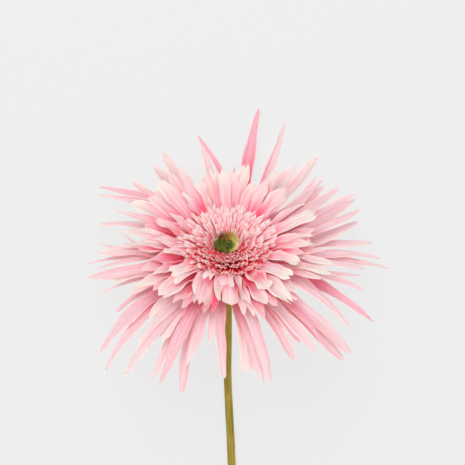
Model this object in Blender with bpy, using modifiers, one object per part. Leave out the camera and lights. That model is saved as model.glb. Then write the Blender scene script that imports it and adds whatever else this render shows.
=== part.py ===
"""A cut spider gerbera lying on a table.

The stalk lies along -Y, and the head looks up and away from it, propped on the rays
that reach the table. Every floret is a thin blade: a grid that is bent to its shape
and then given its thickness. The long outer rays are separate objects. The short
inner rays, the trans florets and the bracts are whorls, each joined at its foot.
"""

import math
import random
from typing import NamedTuple

import bmesh
import bpy
from mathutils import Matrix, Vector

MM = 0.001
UP = Vector((0, 0, 1))

# ---- the head's place and attitude -------------------------------------------------
HEAD_CENTRE = Vector((-4.0 * MM, 167.7 * MM, 36 * MM))  # middle of the green eye
HEAD_TILT = math.radians(45)  # how far the face leans from straight up towards +Y
HEAD_FRAME = Matrix.Translation(HEAD_CENTRE) @ Matrix.Rotation(-HEAD_TILT, 4, "X")
FACE = HEAD_FRAME.to_3x3() @ UP  # the way the face looks

# ---- stalk and receptacle ----------------------------------------------------------
CUT_END_Y = -225 * MM
NECK_RADIUS = 1.55 * MM
CUT_RADIUS = 2.65 * MM
DRUM_RADIUS = 8.5 * MM  # the wall that the rays stand on
DRUM_TOP = -5.8 * MM  # heights in the head's frame, where the eye is at 0
DRUM_DOME = 0.3 * MM  # how much its top swells in the middle
DRUM_FOOT = -15.0 * MM
FLARE_FOOT = -19.6 * MM
FLARE_RADIUS = 3.6 * MM
NECK_TOP = -21.5 * MM
SEAT_GAP = 0.3 * MM  # between a floret's foot and the receptacle

# ---- outer rays --------------------------------------------------------------------
BLADE_THICKNESS = 0.5 * MM
ROOT_RADIUS = DRUM_RADIUS + SEAT_GAP
LOWEST_ROOT = -13.8 * MM
STOREY = 1.05 * MM  # from one storey's feet to the next
LAUNCH_LOWEST = math.radians(4)  # elevation of a ray at its foot
LAUNCH_STEP = math.radians(5)
DROOP_LOWEST = math.radians(-16)  # elevation of a ray's tip, seen from the head's centre
DROOP_STEP = math.radians(2)
NEAR_DROOP = math.radians(8)  # more droop on the side that hangs over the stalk
TABLE_REST = 0.13 * MM  # half the thickness of a tip, which lies on the table
TABLE_STACK = 0.9 * MM  # storeys that meet the table lie this far apart on it
RAY_ROOT_SHARE = 0.36  # width at the foot, as a share of the widest place
CHANNEL = 0.09  # depth of a blade's trough, as a share of its width
RAY_SEGMENTS = 7


class Ray(NamedTuple):
    """An outer ray, by what a plan of the flower shows."""

    bearing: float  # of the tip from the head's centre, degrees from +X
    reach: float  # of the tip from the head's centre, mm
    storey: int
    turn: float  # how far the tip lies round from the foot, degrees
    width: float = 5.0  # at its widest, mm


OUTER_RAYS = (
    Ray(0, 61, 0, 0),
    Ray(9, 56, 2, 5),
    Ray(14, 58, 4, 12),
    Ray(21, 58, 0, 1),
    Ray(26, 54, 3, 1),
    Ray(30, 49, 1, 0),
    Ray(33, 50, 4, 0, width=4.4),
    Ray(37, 49, 0, 0, width=3.4),
    Ray(43, 56, 2, -1),
    Ray(48, 45, 4, -1, width=4.4),
    Ray(64, 58, 0, 3, width=4.6),
    Ray(76, 59, 2, 0, width=5.6),
    Ray(105, 48, 1, 4, width=5.6),
    Ray(125, 49, 2, 1),
    Ray(134, 46, 4, -1),
    Ray(147, 49, 1, 1),
    Ray(157, 61, 0, 9, width=3.6),
    Ray(160, 60, 4, 8, width=3.8),
    Ray(172, 56, 2, 4, width=3.8),
    Ray(181, 55, 0, -3),
    Ray(185, 54, 3, -1),
    Ray(189, 58, 1, -1),
    Ray(194, 60, 4, -1),
    Ray(212, 54, 0, 3),
    Ray(221, 67, 2, 2),
    Ray(227, 71, 1, 1, width=4.4),
    Ray(232, 67, 3, 0),
    Ray(242, 63, 0, -1, width=4.0),
    Ray(245, 61, 4, 1),
    Ray(253, 64, 1, 5, width=4.6),
    Ray(269, 55, 3, 4, width=4.4),
    Ray(278, 54, 0, 1, width=6.0),
    Ray(284, 58, 2, 3, width=4.2),
    Ray(287, 59, 4, -1, width=4.6),
    Ray(300, 55, 1, 1),
    Ray(309, 56, 3, 2),
    Ray(315, 65, 0, -3),
    Ray(319, 65, 2, 1),
    Ray(325, 60, 4, -4, width=4.2),
    Ray(332, 67, 1, -3, width=5.6),
    Ray(341, 59, 3, 0),
    Ray(349, 58, 2, 3, width=4.2),
    Ray(351, 67, 0, 8, width=4.4),
    Ray(355, 64, 1, -1, width=4.4),
)

# ---- whorls joined at their feet ---------------------------------------------------


class Whorl(NamedTuple):
    """Equal blades round the head's axis, each bent along one curve. The curve's foot,
    two handles and tip are (radius, height) in the head's frame. Lengths are in mm."""

    blades: int
    width: float
    thickness: float
    columns: int  # of faces across a blade
    segments: int  # of faces along it
    foot: tuple
    foot_handle: tuple
    tip_handle: tuple
    tip: tuple


WHORLS = {
    "inner_ray_whorl_1": Whorl(13, 5.6, 0.45, 2, 5, (8.9, -8.4), (17, -5.2), (29, -0.2), (41, -1.0)),
    "inner_ray_whorl_2": Whorl(13, 5.4, 0.45, 2, 5, (8.9, -7.3), (16, -4.0), (26, 1.8), (37, 4.0)),
    "inner_ray_whorl_3": Whorl(12, 5.0, 0.45, 2, 5, (8.9, -6.2), (14, -3.4), (22, 1.2), (31, 6.6)),
    "trans_floret_whorl_1": Whorl(32, 1.8, 0.3, 1, 3, (8.1, -5.3), (10.5, -0.6), (16, 1.6), (22.3, 2.6)),
    "trans_floret_whorl_2": Whorl(28, 1.7, 0.3, 1, 3, (7.55, -5.2), (9.2, 0.4), (13.2, 2.6), (18.4, 4.0)),
    "trans_floret_whorl_3": Whorl(24, 1.6, 0.3, 1, 3, (7.0, -5.1), (8.3, 0.8), (11.0, 3.2), (15.0, 4.6)),
    "trans_floret_whorl_4": Whorl(20, 1.5, 0.3, 1, 3, (6.45, -5.0), (7.3, 1.0), (9.3, 3.2), (12.0, 4.6)),
    "trans_floret_whorl_5": Whorl(16, 1.4, 0.3, 1, 3, (5.9, -5.0), (6.2, 0.6), (7.5, 2.8), (9.4, 4.0)),
    "bract_whorl_inner": Whorl(18, 2.9, 0.6, 1, 4, (5.9, -18.6), (8.6, -17.2), (10.6, -15.6), (13.4, -14.8)),
    "bract_whorl_outer": Whorl(13, 3.2, 0.6, 1, 4, (4.3, -20.4), (7.6, -19.2), (9.6, -18.2), (11.4, -17.2)),
}
WHORL_JITTER = math.radians(2.0)
WHORL_ROOT_SHARE = 0.5  # width at the foot, as a share of the widest place

# ---- the green eye -----------------------------------------------------------------
EYE_RADIUS = 5.2 * MM
EYE_TOP = 0.4 * MM

COLOURS = {
    "scape": (0.36, 0.34, 0.08),
    "bract": (0.27, 0.36, 0.12),
    "outer_ray": (0.94, 0.52, 0.60),
    "inner_ray": (0.96, 0.72, 0.72),
    "trans_floret": (0.92, 0.46, 0.52),
    "disc_eye": (0.30, 0.38, 0.10),
}


def material_for(name):
    """The material whose key starts the object's name, made once."""
    key = next(k for k in COLOURS if name.startswith(k))
    made = bpy.data.materials.get(key)
    if made is None:
        made = bpy.data.materials.new(key)
        made.use_nodes = True
        shader = made.node_tree.nodes["Principled BSDF"]
        shader.inputs["Base Color"].default_value = (*COLOURS[key], 1)
        shader.inputs["Roughness"].default_value = 0.6
        shader.inputs["Metallic"].default_value = 0.0
    return made


def add_object(name, mesh, collection, parent=None):
    made = bpy.data.objects.new(name, mesh)
    collection.objects.link(made)
    made.parent = parent
    mesh.materials.append(material_for(name))
    mesh.shade_smooth()
    mesh.set_sharp_from_angle(angle=math.radians(40))
    return made


def add_thickness(piece, thickness):
    solidify = piece.modifiers.new("Thickness", "SOLIDIFY")
    solidify.thickness = thickness
    solidify.offset = 0
    solidify.use_even_offset = True
    solidify.thickness_clamp = 1


def smooth_step(low, high, value):
    t = min(1, max(0, (value - low) / (high - low)))
    return t * t * (3 - 2 * t)


def bezier(points, t):
    """A point on the cubic through four control points."""
    a, b, c, d = points
    u = 1 - t
    return a * u**3 + b * (3 * u * u * t) + c * (3 * u * t * t) + d * t**3


def bezier_tangent(points, t):
    a, b, c, d = points
    u = 1 - t
    return ((b - a) * (u * u) + (c - b) * (2 * u * t) + (d - c) * (t * t)).normalized()


def blade_width(t, root_share, widest, sharpness):
    """Width along a blade as a share of its widest place, which is at t = widest."""
    if t < widest:
        return root_share + (1 - root_share) * smooth_step(0, widest, t)
    return max(0.10, 1 - ((t - widest) / (1 - widest)) ** sharpness)


# ---- outer rays --------------------------------------------------------------------


def ray_tip(ray):
    """World position of a tip above its plan point, and whether it meets the table: the
    tip is on its storey's drooping cone round the head's axis, unless that is lower."""
    bearing, reach = math.radians(ray.bearing), ray.reach * MM
    offset = Vector((reach * math.cos(bearing), reach * math.sin(bearing), 0))
    hang = NEAR_DROOP * max(0, -math.sin(bearing))
    sink = math.sin(DROOP_LOWEST + ray.storey * DROOP_STEP - hang)
    upright = math.cos(HEAD_TILT)
    lean = offset.y * math.sin(HEAD_TILT)
    spread = upright**2 - sink**2
    offset.z = (sink * math.sqrt(lean**2 + spread * reach**2) - lean * upright) / spread
    tip = HEAD_CENTRE + offset
    table = TABLE_REST + ray.storey * TABLE_STACK
    on_table = tip.z < table
    tip.z = max(tip.z, table)
    return tip, on_table


def ray_path(ray):
    """Four control points in the world for a ray that leaves the drum at its storey's
    launch angle and ends drooping in the air or lying flat on the table."""
    tip, on_table = ray_tip(ray)
    seen = HEAD_FRAME.inverted() @ tip
    azimuth = math.atan2(seen.y, seen.x) - math.radians(ray.turn)
    outward = Vector((math.cos(azimuth), math.sin(azimuth), 0))
    root = outward * ROOT_RADIUS + UP * (LOWEST_ROOT + ray.storey * STOREY)
    launch = LAUNCH_LOWEST + ray.storey * LAUNCH_STEP
    leaving = outward * math.cos(launch) + UP * math.sin(launch)
    root, leaving = HEAD_FRAME @ root, HEAD_FRAME.to_3x3() @ leaving
    span = (tip - root).length
    first = root + leaving * (0.34 * span)
    arriving = (tip - first).normalized()
    if on_table:
        arriving.z = 0
    else:
        arriving -= FACE * 0.25
    second = tip - arriving.normalized() * (0.30 * span)
    return (root, first, second, tip), on_table


def blade_sheet(columns, segments):
    """An open grid of unit size, with x from -1 to 1 across and y from 0 to 1 along."""
    sheet = bmesh.new()
    bmesh.ops.create_grid(sheet, x_segments=columns, y_segments=segments, size=1)
    for v in sheet.verts:
        v.co.y = (v.co.y + 1) / 2
    return sheet


def outer_ray(name, ray, collection, head):
    points, on_table = ray_path(ray)
    to_head = HEAD_FRAME.inverted()
    sheet = blade_sheet(2, RAY_SEGMENTS)
    for v in sheet.verts:
        across, t = v.co.x, v.co.y
        along = bezier_tangent(points, t)
        settled = smooth_step(0.25, 0.75, t) if on_table else 0
        facing = FACE.lerp(UP, settled)
        side = along.cross(facing).normalized()
        normal = side.cross(along)
        half = ray.width * MM / 2 * blade_width(t, RAY_ROOT_SHARE, 0.42, 1.7)
        trough = CHANNEL * half * (abs(across) * 2 - 1) * (1 - settled)
        v.co = to_head @ (bezier(points, t) + side * across * half + normal * trough)
    mesh = bpy.data.meshes.new(name)
    bmesh.ops.recalc_face_normals(sheet, faces=sheet.faces)
    sheet.to_mesh(mesh)
    sheet.free()
    add_thickness(add_object(name, mesh, collection, head), BLADE_THICKNESS)


# ---- whorls ------------------------------------------------------------------------


def whorl(name, spec, collection, head):
    """Blades that stand on one ring: a band of faces round the axis, whose first row is
    whole and whose other rows are cut away between the blades."""
    half = spec.width * MM / 2
    curve = (spec.foot, spec.foot_handle, spec.tip_handle, spec.tip)
    points = [Vector((r * MM, 0, z * MM)) for r, z in curve]
    chance = random.Random(name)
    turns = [chance.uniform(-1, 1) * WHORL_JITTER for _ in range(spec.blades)]
    reaches = [1 - 0.10 * chance.random() for _ in range(spec.blades)]
    rows, stride = spec.segments, spec.columns + 1
    sheet = blade_sheet(stride * spec.blades, rows)
    places = {
        v: (round((v.co.x + 1) / 2 * stride * spec.blades), round(v.co.y * rows))
        for v in sheet.verts
    }
    gaps = [
        f
        for f in sheet.faces
        if min(places[v][0] for v in f.verts) % stride == spec.columns
        and min(places[v][1] for v in f.verts) > 0
    ]
    bmesh.ops.delete(sheet, geom=gaps, context="FACES")
    pitch = 2 * math.pi / spec.blades
    for v in sheet.verts:
        column, row = places[v]
        blade = column // stride % spec.blades
        across = 2 * (column % stride) / spec.columns - 1
        t = row / rows * reaches[blade]
        spot, tangent = bezier(points, t), bezier_tangent(points, t)
        normal = Vector((-tangent.z, 0, tangent.x))
        share = blade_width(row / rows, WHORL_ROOT_SHARE, 0.55, 3.0)
        room = math.tan(pitch * 0.36) * spot.x
        trough = CHANNEL * half * (abs(across) * 2 - 1) * smooth_step(0, 0.4, t)
        local = spot + normal * trough
        local.y = across * min(half * share, room)
        turn = blade * pitch + turns[blade] * smooth_step(0, 0.5, t)
        v.co = Matrix.Rotation(turn, 3, "Z") @ local
    bmesh.ops.remove_doubles(sheet, verts=sheet.verts, dist=0.02 * MM)
    bmesh.ops.recalc_face_normals(sheet, faces=sheet.faces)
    mesh = bpy.data.meshes.new(name)
    sheet.to_mesh(mesh)
    sheet.free()
    add_thickness(add_object(name, mesh, collection, head), spec.thickness * MM)


# ---- stalk, receptacle and eye -----------------------------------------------------


def turned(name, profile, steps, collection, parent):
    """A solid of revolution round local Z, from (radius, height) points, top to bottom."""
    outline = bmesh.new()
    verts = [outline.verts.new((r, 0, z)) for r, z in profile]
    for a, b in zip(verts, verts[1:]):
        outline.edges.new((a, b))
    mesh = bpy.data.meshes.new(name)
    outline.to_mesh(mesh)
    outline.free()
    made = add_object(name, mesh, collection, parent)
    screw = made.modifiers.new("Turn", "SCREW")
    screw.steps = screw.render_steps = steps
    screw.use_merge_vertices = True
    screw.merge_threshold = 0.02 * MM
    return made


def frozen_mesh(source, weld):
    """The object's evaluated shape as a new mesh, with its loose caps welded."""
    graph = bpy.context.evaluated_depsgraph_get()
    mesh = bpy.data.meshes.new_from_object(source.evaluated_get(graph))
    shape = bmesh.new()
    shape.from_mesh(mesh)
    bmesh.ops.remove_doubles(shape, verts=shape.verts, dist=weld)
    shape.to_mesh(mesh)
    shape.free()
    return mesh


def stalk_curve(collection):
    """The stalk's centre line: out of the back of the head, round the neck, down to the
    table, and along it to the cut end. It grows a little thicker all the way."""
    neck = HEAD_FRAME @ Vector((0, 0, NECK_TOP + 1.5 * MM))
    bend = HEAD_FRAME @ Vector((0, 0, NECK_TOP - 5 * MM))
    x, y = HEAD_CENTRE.x, HEAD_CENTRE.y
    # x, y and height over the stalk's own radius, in the world
    route = (
        (neck.x, neck.y, neck.z - NECK_RADIUS),
        (bend.x, bend.y, bend.z - NECK_RADIUS),
        (x + 0.4 * MM, y - 28 * MM, 11.4 * MM),
        (x + 0.4 * MM, y - 40 * MM, 8.6 * MM),
        (x + 0.2 * MM, y - 58 * MM, 6.0 * MM),
        (x + 1.6 * MM, y - 88 * MM, 3.2 * MM),
        (x + 3.2 * MM, y - 130 * MM, 1.0 * MM),
        (x + 4.2 * MM, y - 180 * MM, 0.2 * MM),
        (x + 4.0 * MM, y - 240 * MM, 0.0),
        (x + 2.6 * MM, y - 315 * MM, 0.0),
        (x + 0.4 * MM, CUT_END_Y, 0.0),
    )
    data = bpy.data.curves.new("stalk_line", "CURVE")
    data.dimensions = "3D"
    data.resolution_u = 5
    data.bevel_depth = 1.0
    data.bevel_resolution = 4
    data.use_fill_caps = True
    spline = data.splines.new("BEZIER")
    spline.bezier_points.add(len(route) - 1)
    for point, (px, py, lift) in zip(spline.bezier_points, route):
        radius = NECK_RADIUS + (CUT_RADIUS - NECK_RADIUS) * (y - py) / (y - CUT_END_Y)
        point.co = (px, py, radius + lift)
        point.radius = radius
        point.handle_left_type = point.handle_right_type = "AUTO"
    made = bpy.data.objects.new("stalk_line", data)
    collection.objects.link(made)
    return made


def scape(collection, shapes, head):
    """The leafless stalk and the receptacle that it widens into, grown as one."""
    line = stalk_curve(collection)
    bpy.context.view_layer.update()
    stalk = add_object("scape", frozen_mesh(line, 0.02 * MM), collection)
    bpy.data.objects.remove(line)
    profile = (
        (0, DRUM_TOP + DRUM_DOME),
        (DRUM_RADIUS - 0.8 * MM, DRUM_TOP),
        (DRUM_RADIUS, DRUM_TOP - 0.5 * MM),
        (DRUM_RADIUS, DRUM_FOOT),
        (DRUM_RADIUS - 1.2 * MM, DRUM_FOOT - 1.6 * MM),
        (FLARE_RADIUS, FLARE_FOOT),
        (NECK_RADIUS * 1.15, NECK_TOP),
        (0, NECK_TOP),
    )
    cup = turned("scape_receptacle", profile, 24, shapes, head)
    cup.hide_render = True
    cup.display_type = "WIRE"
    join = stalk.modifiers.new("Receptacle", "BOOLEAN")
    join.operation = "UNION"
    join.object = cup


def disc_eye(collection, head):
    """The unopened buds in the middle, as one low mound with a dimple."""
    foot = DRUM_TOP + DRUM_DOME + SEAT_GAP
    profile = (
        (0, EYE_TOP - 0.5 * MM),
        (EYE_RADIUS * 0.45, EYE_TOP),
        (EYE_RADIUS * 0.8, EYE_TOP - 0.5 * MM),
        (EYE_RADIUS, EYE_TOP - 1.8 * MM),
        (EYE_RADIUS * 0.96, foot),
        (0, foot),
    )
    turned("disc_eye", profile, 20, collection, head)


def main():
    for old in list(bpy.data.objects):
        bpy.data.objects.remove(old)
    flower = bpy.data.collections.new("cut_gerbera")
    shapes = bpy.data.collections.new("boolean_shapes")
    bpy.context.scene.collection.children.link(flower)
    bpy.context.scene.collection.children.link(shapes)
    head = bpy.data.objects.new("head_frame", None)
    head.matrix_world = HEAD_FRAME
    flower.objects.link(head)
    scape(flower, shapes, head)
    disc_eye(flower, head)
    for name, spec in WHORLS.items():
        whorl(name, spec, flower, head)
    for number, ray in enumerate(OUTER_RAYS, 1):
        outer_ray(f"outer_ray_{number:02d}", ray, flower, head)


main()
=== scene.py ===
"""The looks of a cut spider gerbera that lies on a table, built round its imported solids.

The head looks up and away from the stalk. Long outer rays, short inner rays and the
bracts are blades bent along curves. The trans florets and the buds of the eye repeat by
rule, so Geometry Nodes make them. Lengths are in metres, and MM turns millimetres into
them. The head has axes of its own: its origin is the middle of the eye and its Z is the
way the face looks.
"""

import logging
import math
import random
from dataclasses import dataclass
from enum import Enum
from typing import NamedTuple, Optional, Sequence, Union

import bmesh
import bpy
from mathutils import Matrix, Vector


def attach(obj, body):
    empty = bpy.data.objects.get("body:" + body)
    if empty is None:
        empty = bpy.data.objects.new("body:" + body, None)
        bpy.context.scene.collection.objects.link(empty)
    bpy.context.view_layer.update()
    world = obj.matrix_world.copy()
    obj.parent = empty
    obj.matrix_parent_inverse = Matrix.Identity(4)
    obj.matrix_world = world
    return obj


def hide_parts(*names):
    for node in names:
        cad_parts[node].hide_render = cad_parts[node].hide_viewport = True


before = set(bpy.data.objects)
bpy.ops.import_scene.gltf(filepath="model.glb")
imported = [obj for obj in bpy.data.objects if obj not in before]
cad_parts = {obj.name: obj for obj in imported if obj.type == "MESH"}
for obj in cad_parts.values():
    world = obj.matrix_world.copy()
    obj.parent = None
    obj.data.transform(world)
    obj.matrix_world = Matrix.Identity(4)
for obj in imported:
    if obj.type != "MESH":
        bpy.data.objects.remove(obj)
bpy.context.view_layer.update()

LOG = logging.getLogger("gerbera")
MM = 0.001
UP = Vector((0, 0, 1))
RIGHT = Vector((1, 0, 0))
AHEAD = Vector((0, 1, 0))  # from the stalk's cut end to the head
HEAD_TILT = math.radians(45)
EYE_TOP = 0.4 * MM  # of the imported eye's highest ring over its middle
GOLDEN_TURN = math.radians(137.508)  # from each floret of the head to the next
BODY = "root"
PETAL_MAP = "petal"  # UV map of every blade: X across it, Y along it
Colour = tuple[float, float, float, float]


def smooth_step(low: float, high: float, value: float) -> float:
    """Rises from 0 at low to 1 at high with no corner.

    Args:
        low: where the rise starts.
        high: where the rise ends.
        value: the place to read it at.

    Returns:
        A number from 0 to 1.
    """
    t = min(1.0, max(0.0, (value - low) / (high - low)))
    return t * t * (3 - 2 * t)


def paint(code: str) -> Colour:
    """Turns a display colour into the linear light that shaders use.

    Args:
        code: six hexadecimal digits, red, green and blue.

    Returns:
        Red, green, blue and an alpha of 1.
    """
    shares = [int(code[i : i + 2], 16) / 255 for i in (0, 2, 4)]
    linear = [s / 12.92 if s <= 0.04045 else ((s + 0.055) / 1.055) ** 2.4 for s in shares]
    return (linear[0], linear[1], linear[2], 1.0)


# ---- the head's own axes ----


@dataclass(frozen=True)
class HeadFrame:
    """The axes that the flower's head is built in.

    Attributes:
        centre: middle of the eye, in the world.
        tilt: how far the face leans from straight up towards +Y.
        onlooker: height above the centre from which a plan of the head is seen.
    """

    centre: Vector
    tilt: float
    onlooker: float = 800 * MM

    @classmethod
    def from_eye(cls, eye: bpy.types.Object, tilt: float, top: float) -> "HeadFrame":
        """Finds the head from the eye, which is turned round the head's axis.

        Args:
            eye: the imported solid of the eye.
            tilt: how far the face leans towards +Y.
            top: height of the solid's highest ring over the eye's middle.

        Returns:
            The head's frame.
        """
        upright = Matrix.Rotation(tilt, 3, "X")
        spots = [upright @ v.co for v in eye.data.vertices]
        middle = [(min(s[i] for s in spots) + max(s[i] for s in spots)) / 2 for i in (0, 1)]
        height = max(s.z for s in spots) - top
        return cls(upright.inverted() @ Vector((*middle, height)), tilt)

    @property
    def matrix(self) -> Matrix:
        """Takes a point from the head's axes to the world."""
        return Matrix.Translation(self.centre) @ Matrix.Rotation(-self.tilt, 4, "X")

    @property
    def face(self) -> Vector:
        """The way the face looks, in the world."""
        return self.turned(UP)

    def turned(self, direction: Vector) -> Vector:
        """Takes a direction from the head's axes to the world."""
        return self.matrix.to_3x3() @ direction

    def below(self, bearing: float, reach: float, height: float) -> Vector:
        """Finds the spot of the head that lies under a spot of its plan.

        Args:
            bearing: of the spot on the plan from the centre, degrees from +X.
            reach: of the spot on the plan from the centre, which the onlooker's
                nearness makes a little larger for high spots.
            height: of the wanted spot over the eye, along the head's axis.

        Returns:
            The spot, in the head's axes.
        """
        x = reach * math.cos(math.radians(bearing))
        y = reach * math.sin(math.radians(bearing))
        rise = height / math.cos(self.tilt)
        shrink = (self.onlooker - rise) / (self.onlooker - y)
        y *= shrink
        return Vector((x * shrink, y / math.cos(self.tilt) - height * math.tan(self.tilt), height))


# ---- node trees ----

Feed = Union["Wire", float, int, str, tuple]


class Wire:
    """A socket that gives a value, which plain arithmetic joins to Math nodes."""

    def __init__(self, sheet: "NodeSheet", socket: bpy.types.NodeSocket) -> None:
        """Holds an output socket of a tree."""
        self.sheet = sheet
        self.socket = socket

    def __add__(self, other: Feed) -> "Wire":
        """Adds."""
        return self.sheet.math("ADD", self, other)

    def __sub__(self, other: Feed) -> "Wire":
        """Subtracts."""
        return self.sheet.math("SUBTRACT", self, other)

    def __rsub__(self, other: Feed) -> "Wire":
        """Subtracts this from a plain number."""
        return self.sheet.math("SUBTRACT", other, self)

    def __mul__(self, other: Feed) -> "Wire":
        """Multiplies."""
        return self.sheet.math("MULTIPLY", self, other)

    def __truediv__(self, other: Feed) -> "Wire":
        """Divides."""
        return self.sheet.math("DIVIDE", self, other)

    def __pow__(self, other: Feed) -> "Wire":
        """Raises to a power."""
        return self.sheet.math("POWER", self, other)

    __radd__ = __add__
    __rmul__ = __mul__

    def of(self, operation: str) -> "Wire":
        """Puts this through a Math node of one input, such as SINE."""
        return self.sheet.math(operation, self)

    def above(self, limit: Feed) -> "Wire":
        """Gives 1 where this is over a limit, else 0."""
        return self.sheet.math("GREATER_THAN", self, limit)

    def beside(self, name: str) -> "Wire":
        """Gives another output of the same node."""
        return Wire(self.sheet, NodeSheet.pick(self.socket.node.outputs, name))

    def ramp(self, low: Feed, high: Feed, start: Feed = 0.0, end: Feed = 1.0) -> "Wire":
        """Goes smoothly from start, where this is low, to end, where it is high.

        Args:
            low: this value's place where the rise starts.
            high: this value's place where it ends.
            start: the result at and below low.
            end: the result at and above high.

        Returns:
            The eased value.
        """
        feeds = {"Value": self, "From Min": low, "From Max": high, "To Min": start, "To Max": end}
        kind = "ShaderNodeMapRange"
        return self.sheet.add(kind, {"interpolation_type": "SMOOTHSTEP"}, feeds, "Result")


class NodeSheet:
    """A node tree, with short calls that add, set and join its nodes."""

    def __init__(self, tree: bpy.types.NodeTree) -> None:
        """Holds the tree to add to."""
        self.tree = tree

    @staticmethod
    def pick(sockets: Sequence[bpy.types.NodeSocket], key: Union[str, int]) -> bpy.types.NodeSocket:
        """Finds a socket in use by its name or its place."""
        if isinstance(key, int):
            return sockets[key]
        return next(s for s in sockets if s.name == key and s.enabled)

    def add(
        self,
        kind: str,
        settings: Optional[dict] = None,
        feeds: Optional[dict] = None,
        out: Union[str, int] = 0,
    ) -> Wire:
        """Adds a node, sets it and feeds its inputs.

        Args:
            kind: the node's type name.
            settings: properties of the node itself.
            feeds: what goes into each input, by the input's name or place.
            out: the output that is wanted, by name or place.

        Returns:
            The wanted output.
        """
        node = self.tree.nodes.new(kind)
        for key, value in (settings or {}).items():
            setattr(node, key, value)
        for key, value in (feeds or {}).items():
            self.feed(self.pick(node.inputs, key), value)
        socket = self.pick(node.outputs, out) if len(node.outputs) else None
        return Wire(self, socket)

    def feed(self, socket: bpy.types.NodeSocket, value: Feed) -> None:
        """Joins a wire to an input, or sets the input's own value.

        Args:
            socket: the input.
            value: a wire, a list of wires to join there, or a plain value.
        """
        if isinstance(value, list):
            for wire in value:
                self.tree.links.new(wire.socket, socket)
        elif isinstance(value, Wire):
            self.tree.links.new(value.socket, socket)
        else:
            socket.default_value = value

    def math(self, operation: str, *values: Feed) -> Wire:
        """Adds a Math node."""
        feeds = dict(enumerate(values))
        return self.add("ShaderNodeMath", {"operation": operation}, feeds)

    def vector(self, x: Feed, y: Feed, z: Feed) -> Wire:
        """Joins three values to a vector."""
        return self.add("ShaderNodeCombineXYZ", None, {"X": x, "Y": y, "Z": z})

    def vector_math(self, operation: str, *values: Feed) -> Wire:
        """Adds a Vector Math node whose result is a vector."""
        feeds = dict(enumerate(values))
        return self.add("ShaderNodeVectorMath", {"operation": operation}, feeds)

    def measure(self, operation: str, *values: Feed) -> Wire:
        """Adds a Vector Math node whose result is a number, such as LENGTH."""
        feeds = dict(enumerate(values))
        return self.add("ShaderNodeVectorMath", {"operation": operation}, feeds, "Value")

    def mix(self, share: Feed, first: Feed, second: Feed) -> Wire:
        """Mixes two colours.

        Args:
            share: how much of the second colour shows.
            first: a colour.
            second: another colour.

        Returns:
            The mixed colour.
        """
        feeds = {"Factor": share, "A": first, "B": second}
        return self.add("ShaderNodeMix", {"data_type": "RGBA"}, feeds, "Result")

    def attribute(self, name: str) -> Wire:
        """Reads a named value that the mesh carries."""
        return self.add("ShaderNodeAttribute", {"attribute_name": name}, None, "Fac")

    def noise(self, place: Wire, scale: float, detail: float) -> Wire:
        """Reads soft random values round 0.5."""
        feeds = {"Vector": place, "Scale": scale, "Detail": detail}
        return self.add("ShaderNodeTexNoise", None, feeds)

    def own_spot(self) -> Wire:
        """Reads where each point of the piece is."""
        return self.add("ShaderNodeTexCoord", None, None, "Object")

    def bump(self, height: Wire, distance: float, strength: float) -> Wire:
        """Turns a height into bumps, where a height of 1 is as deep as the distance."""
        feeds = {"Height": height, "Distance": distance, "Strength": strength}
        return self.add("ShaderNodeBump", None, feeds, "Normal")

    def inputs(self) -> dict[str, Wire]:
        """Gives the group's own inputs by name."""
        node = self.tree.nodes.new("NodeGroupInput")
        return {socket.name: Wire(self, socket) for socket in node.outputs if socket.name}


def new_group(name: str, kind: str, inputs: dict, outputs: dict) -> NodeSheet:
    """Makes an empty node group with named sockets.

    Args:
        name: the group's name.
        kind: ShaderNodeTree or GeometryNodeTree.
        inputs: socket type of each input, by name.
        outputs: socket type of each output, by name.

    Returns:
        The group, to add nodes to.
    """
    tree = bpy.data.node_groups.new(name, kind)
    for direction, sockets in (("INPUT", inputs), ("OUTPUT", outputs)):
        for label, socket_type in sockets.items():
            tree.interface.new_socket(label, in_out=direction, socket_type=socket_type)
    return NodeSheet(tree)


# ---- finishes ----

COLOUR, NUMBER, VECTOR = "NodeSocketColor", "NodeSocketFloat", "NodeSocketVector"


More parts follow.
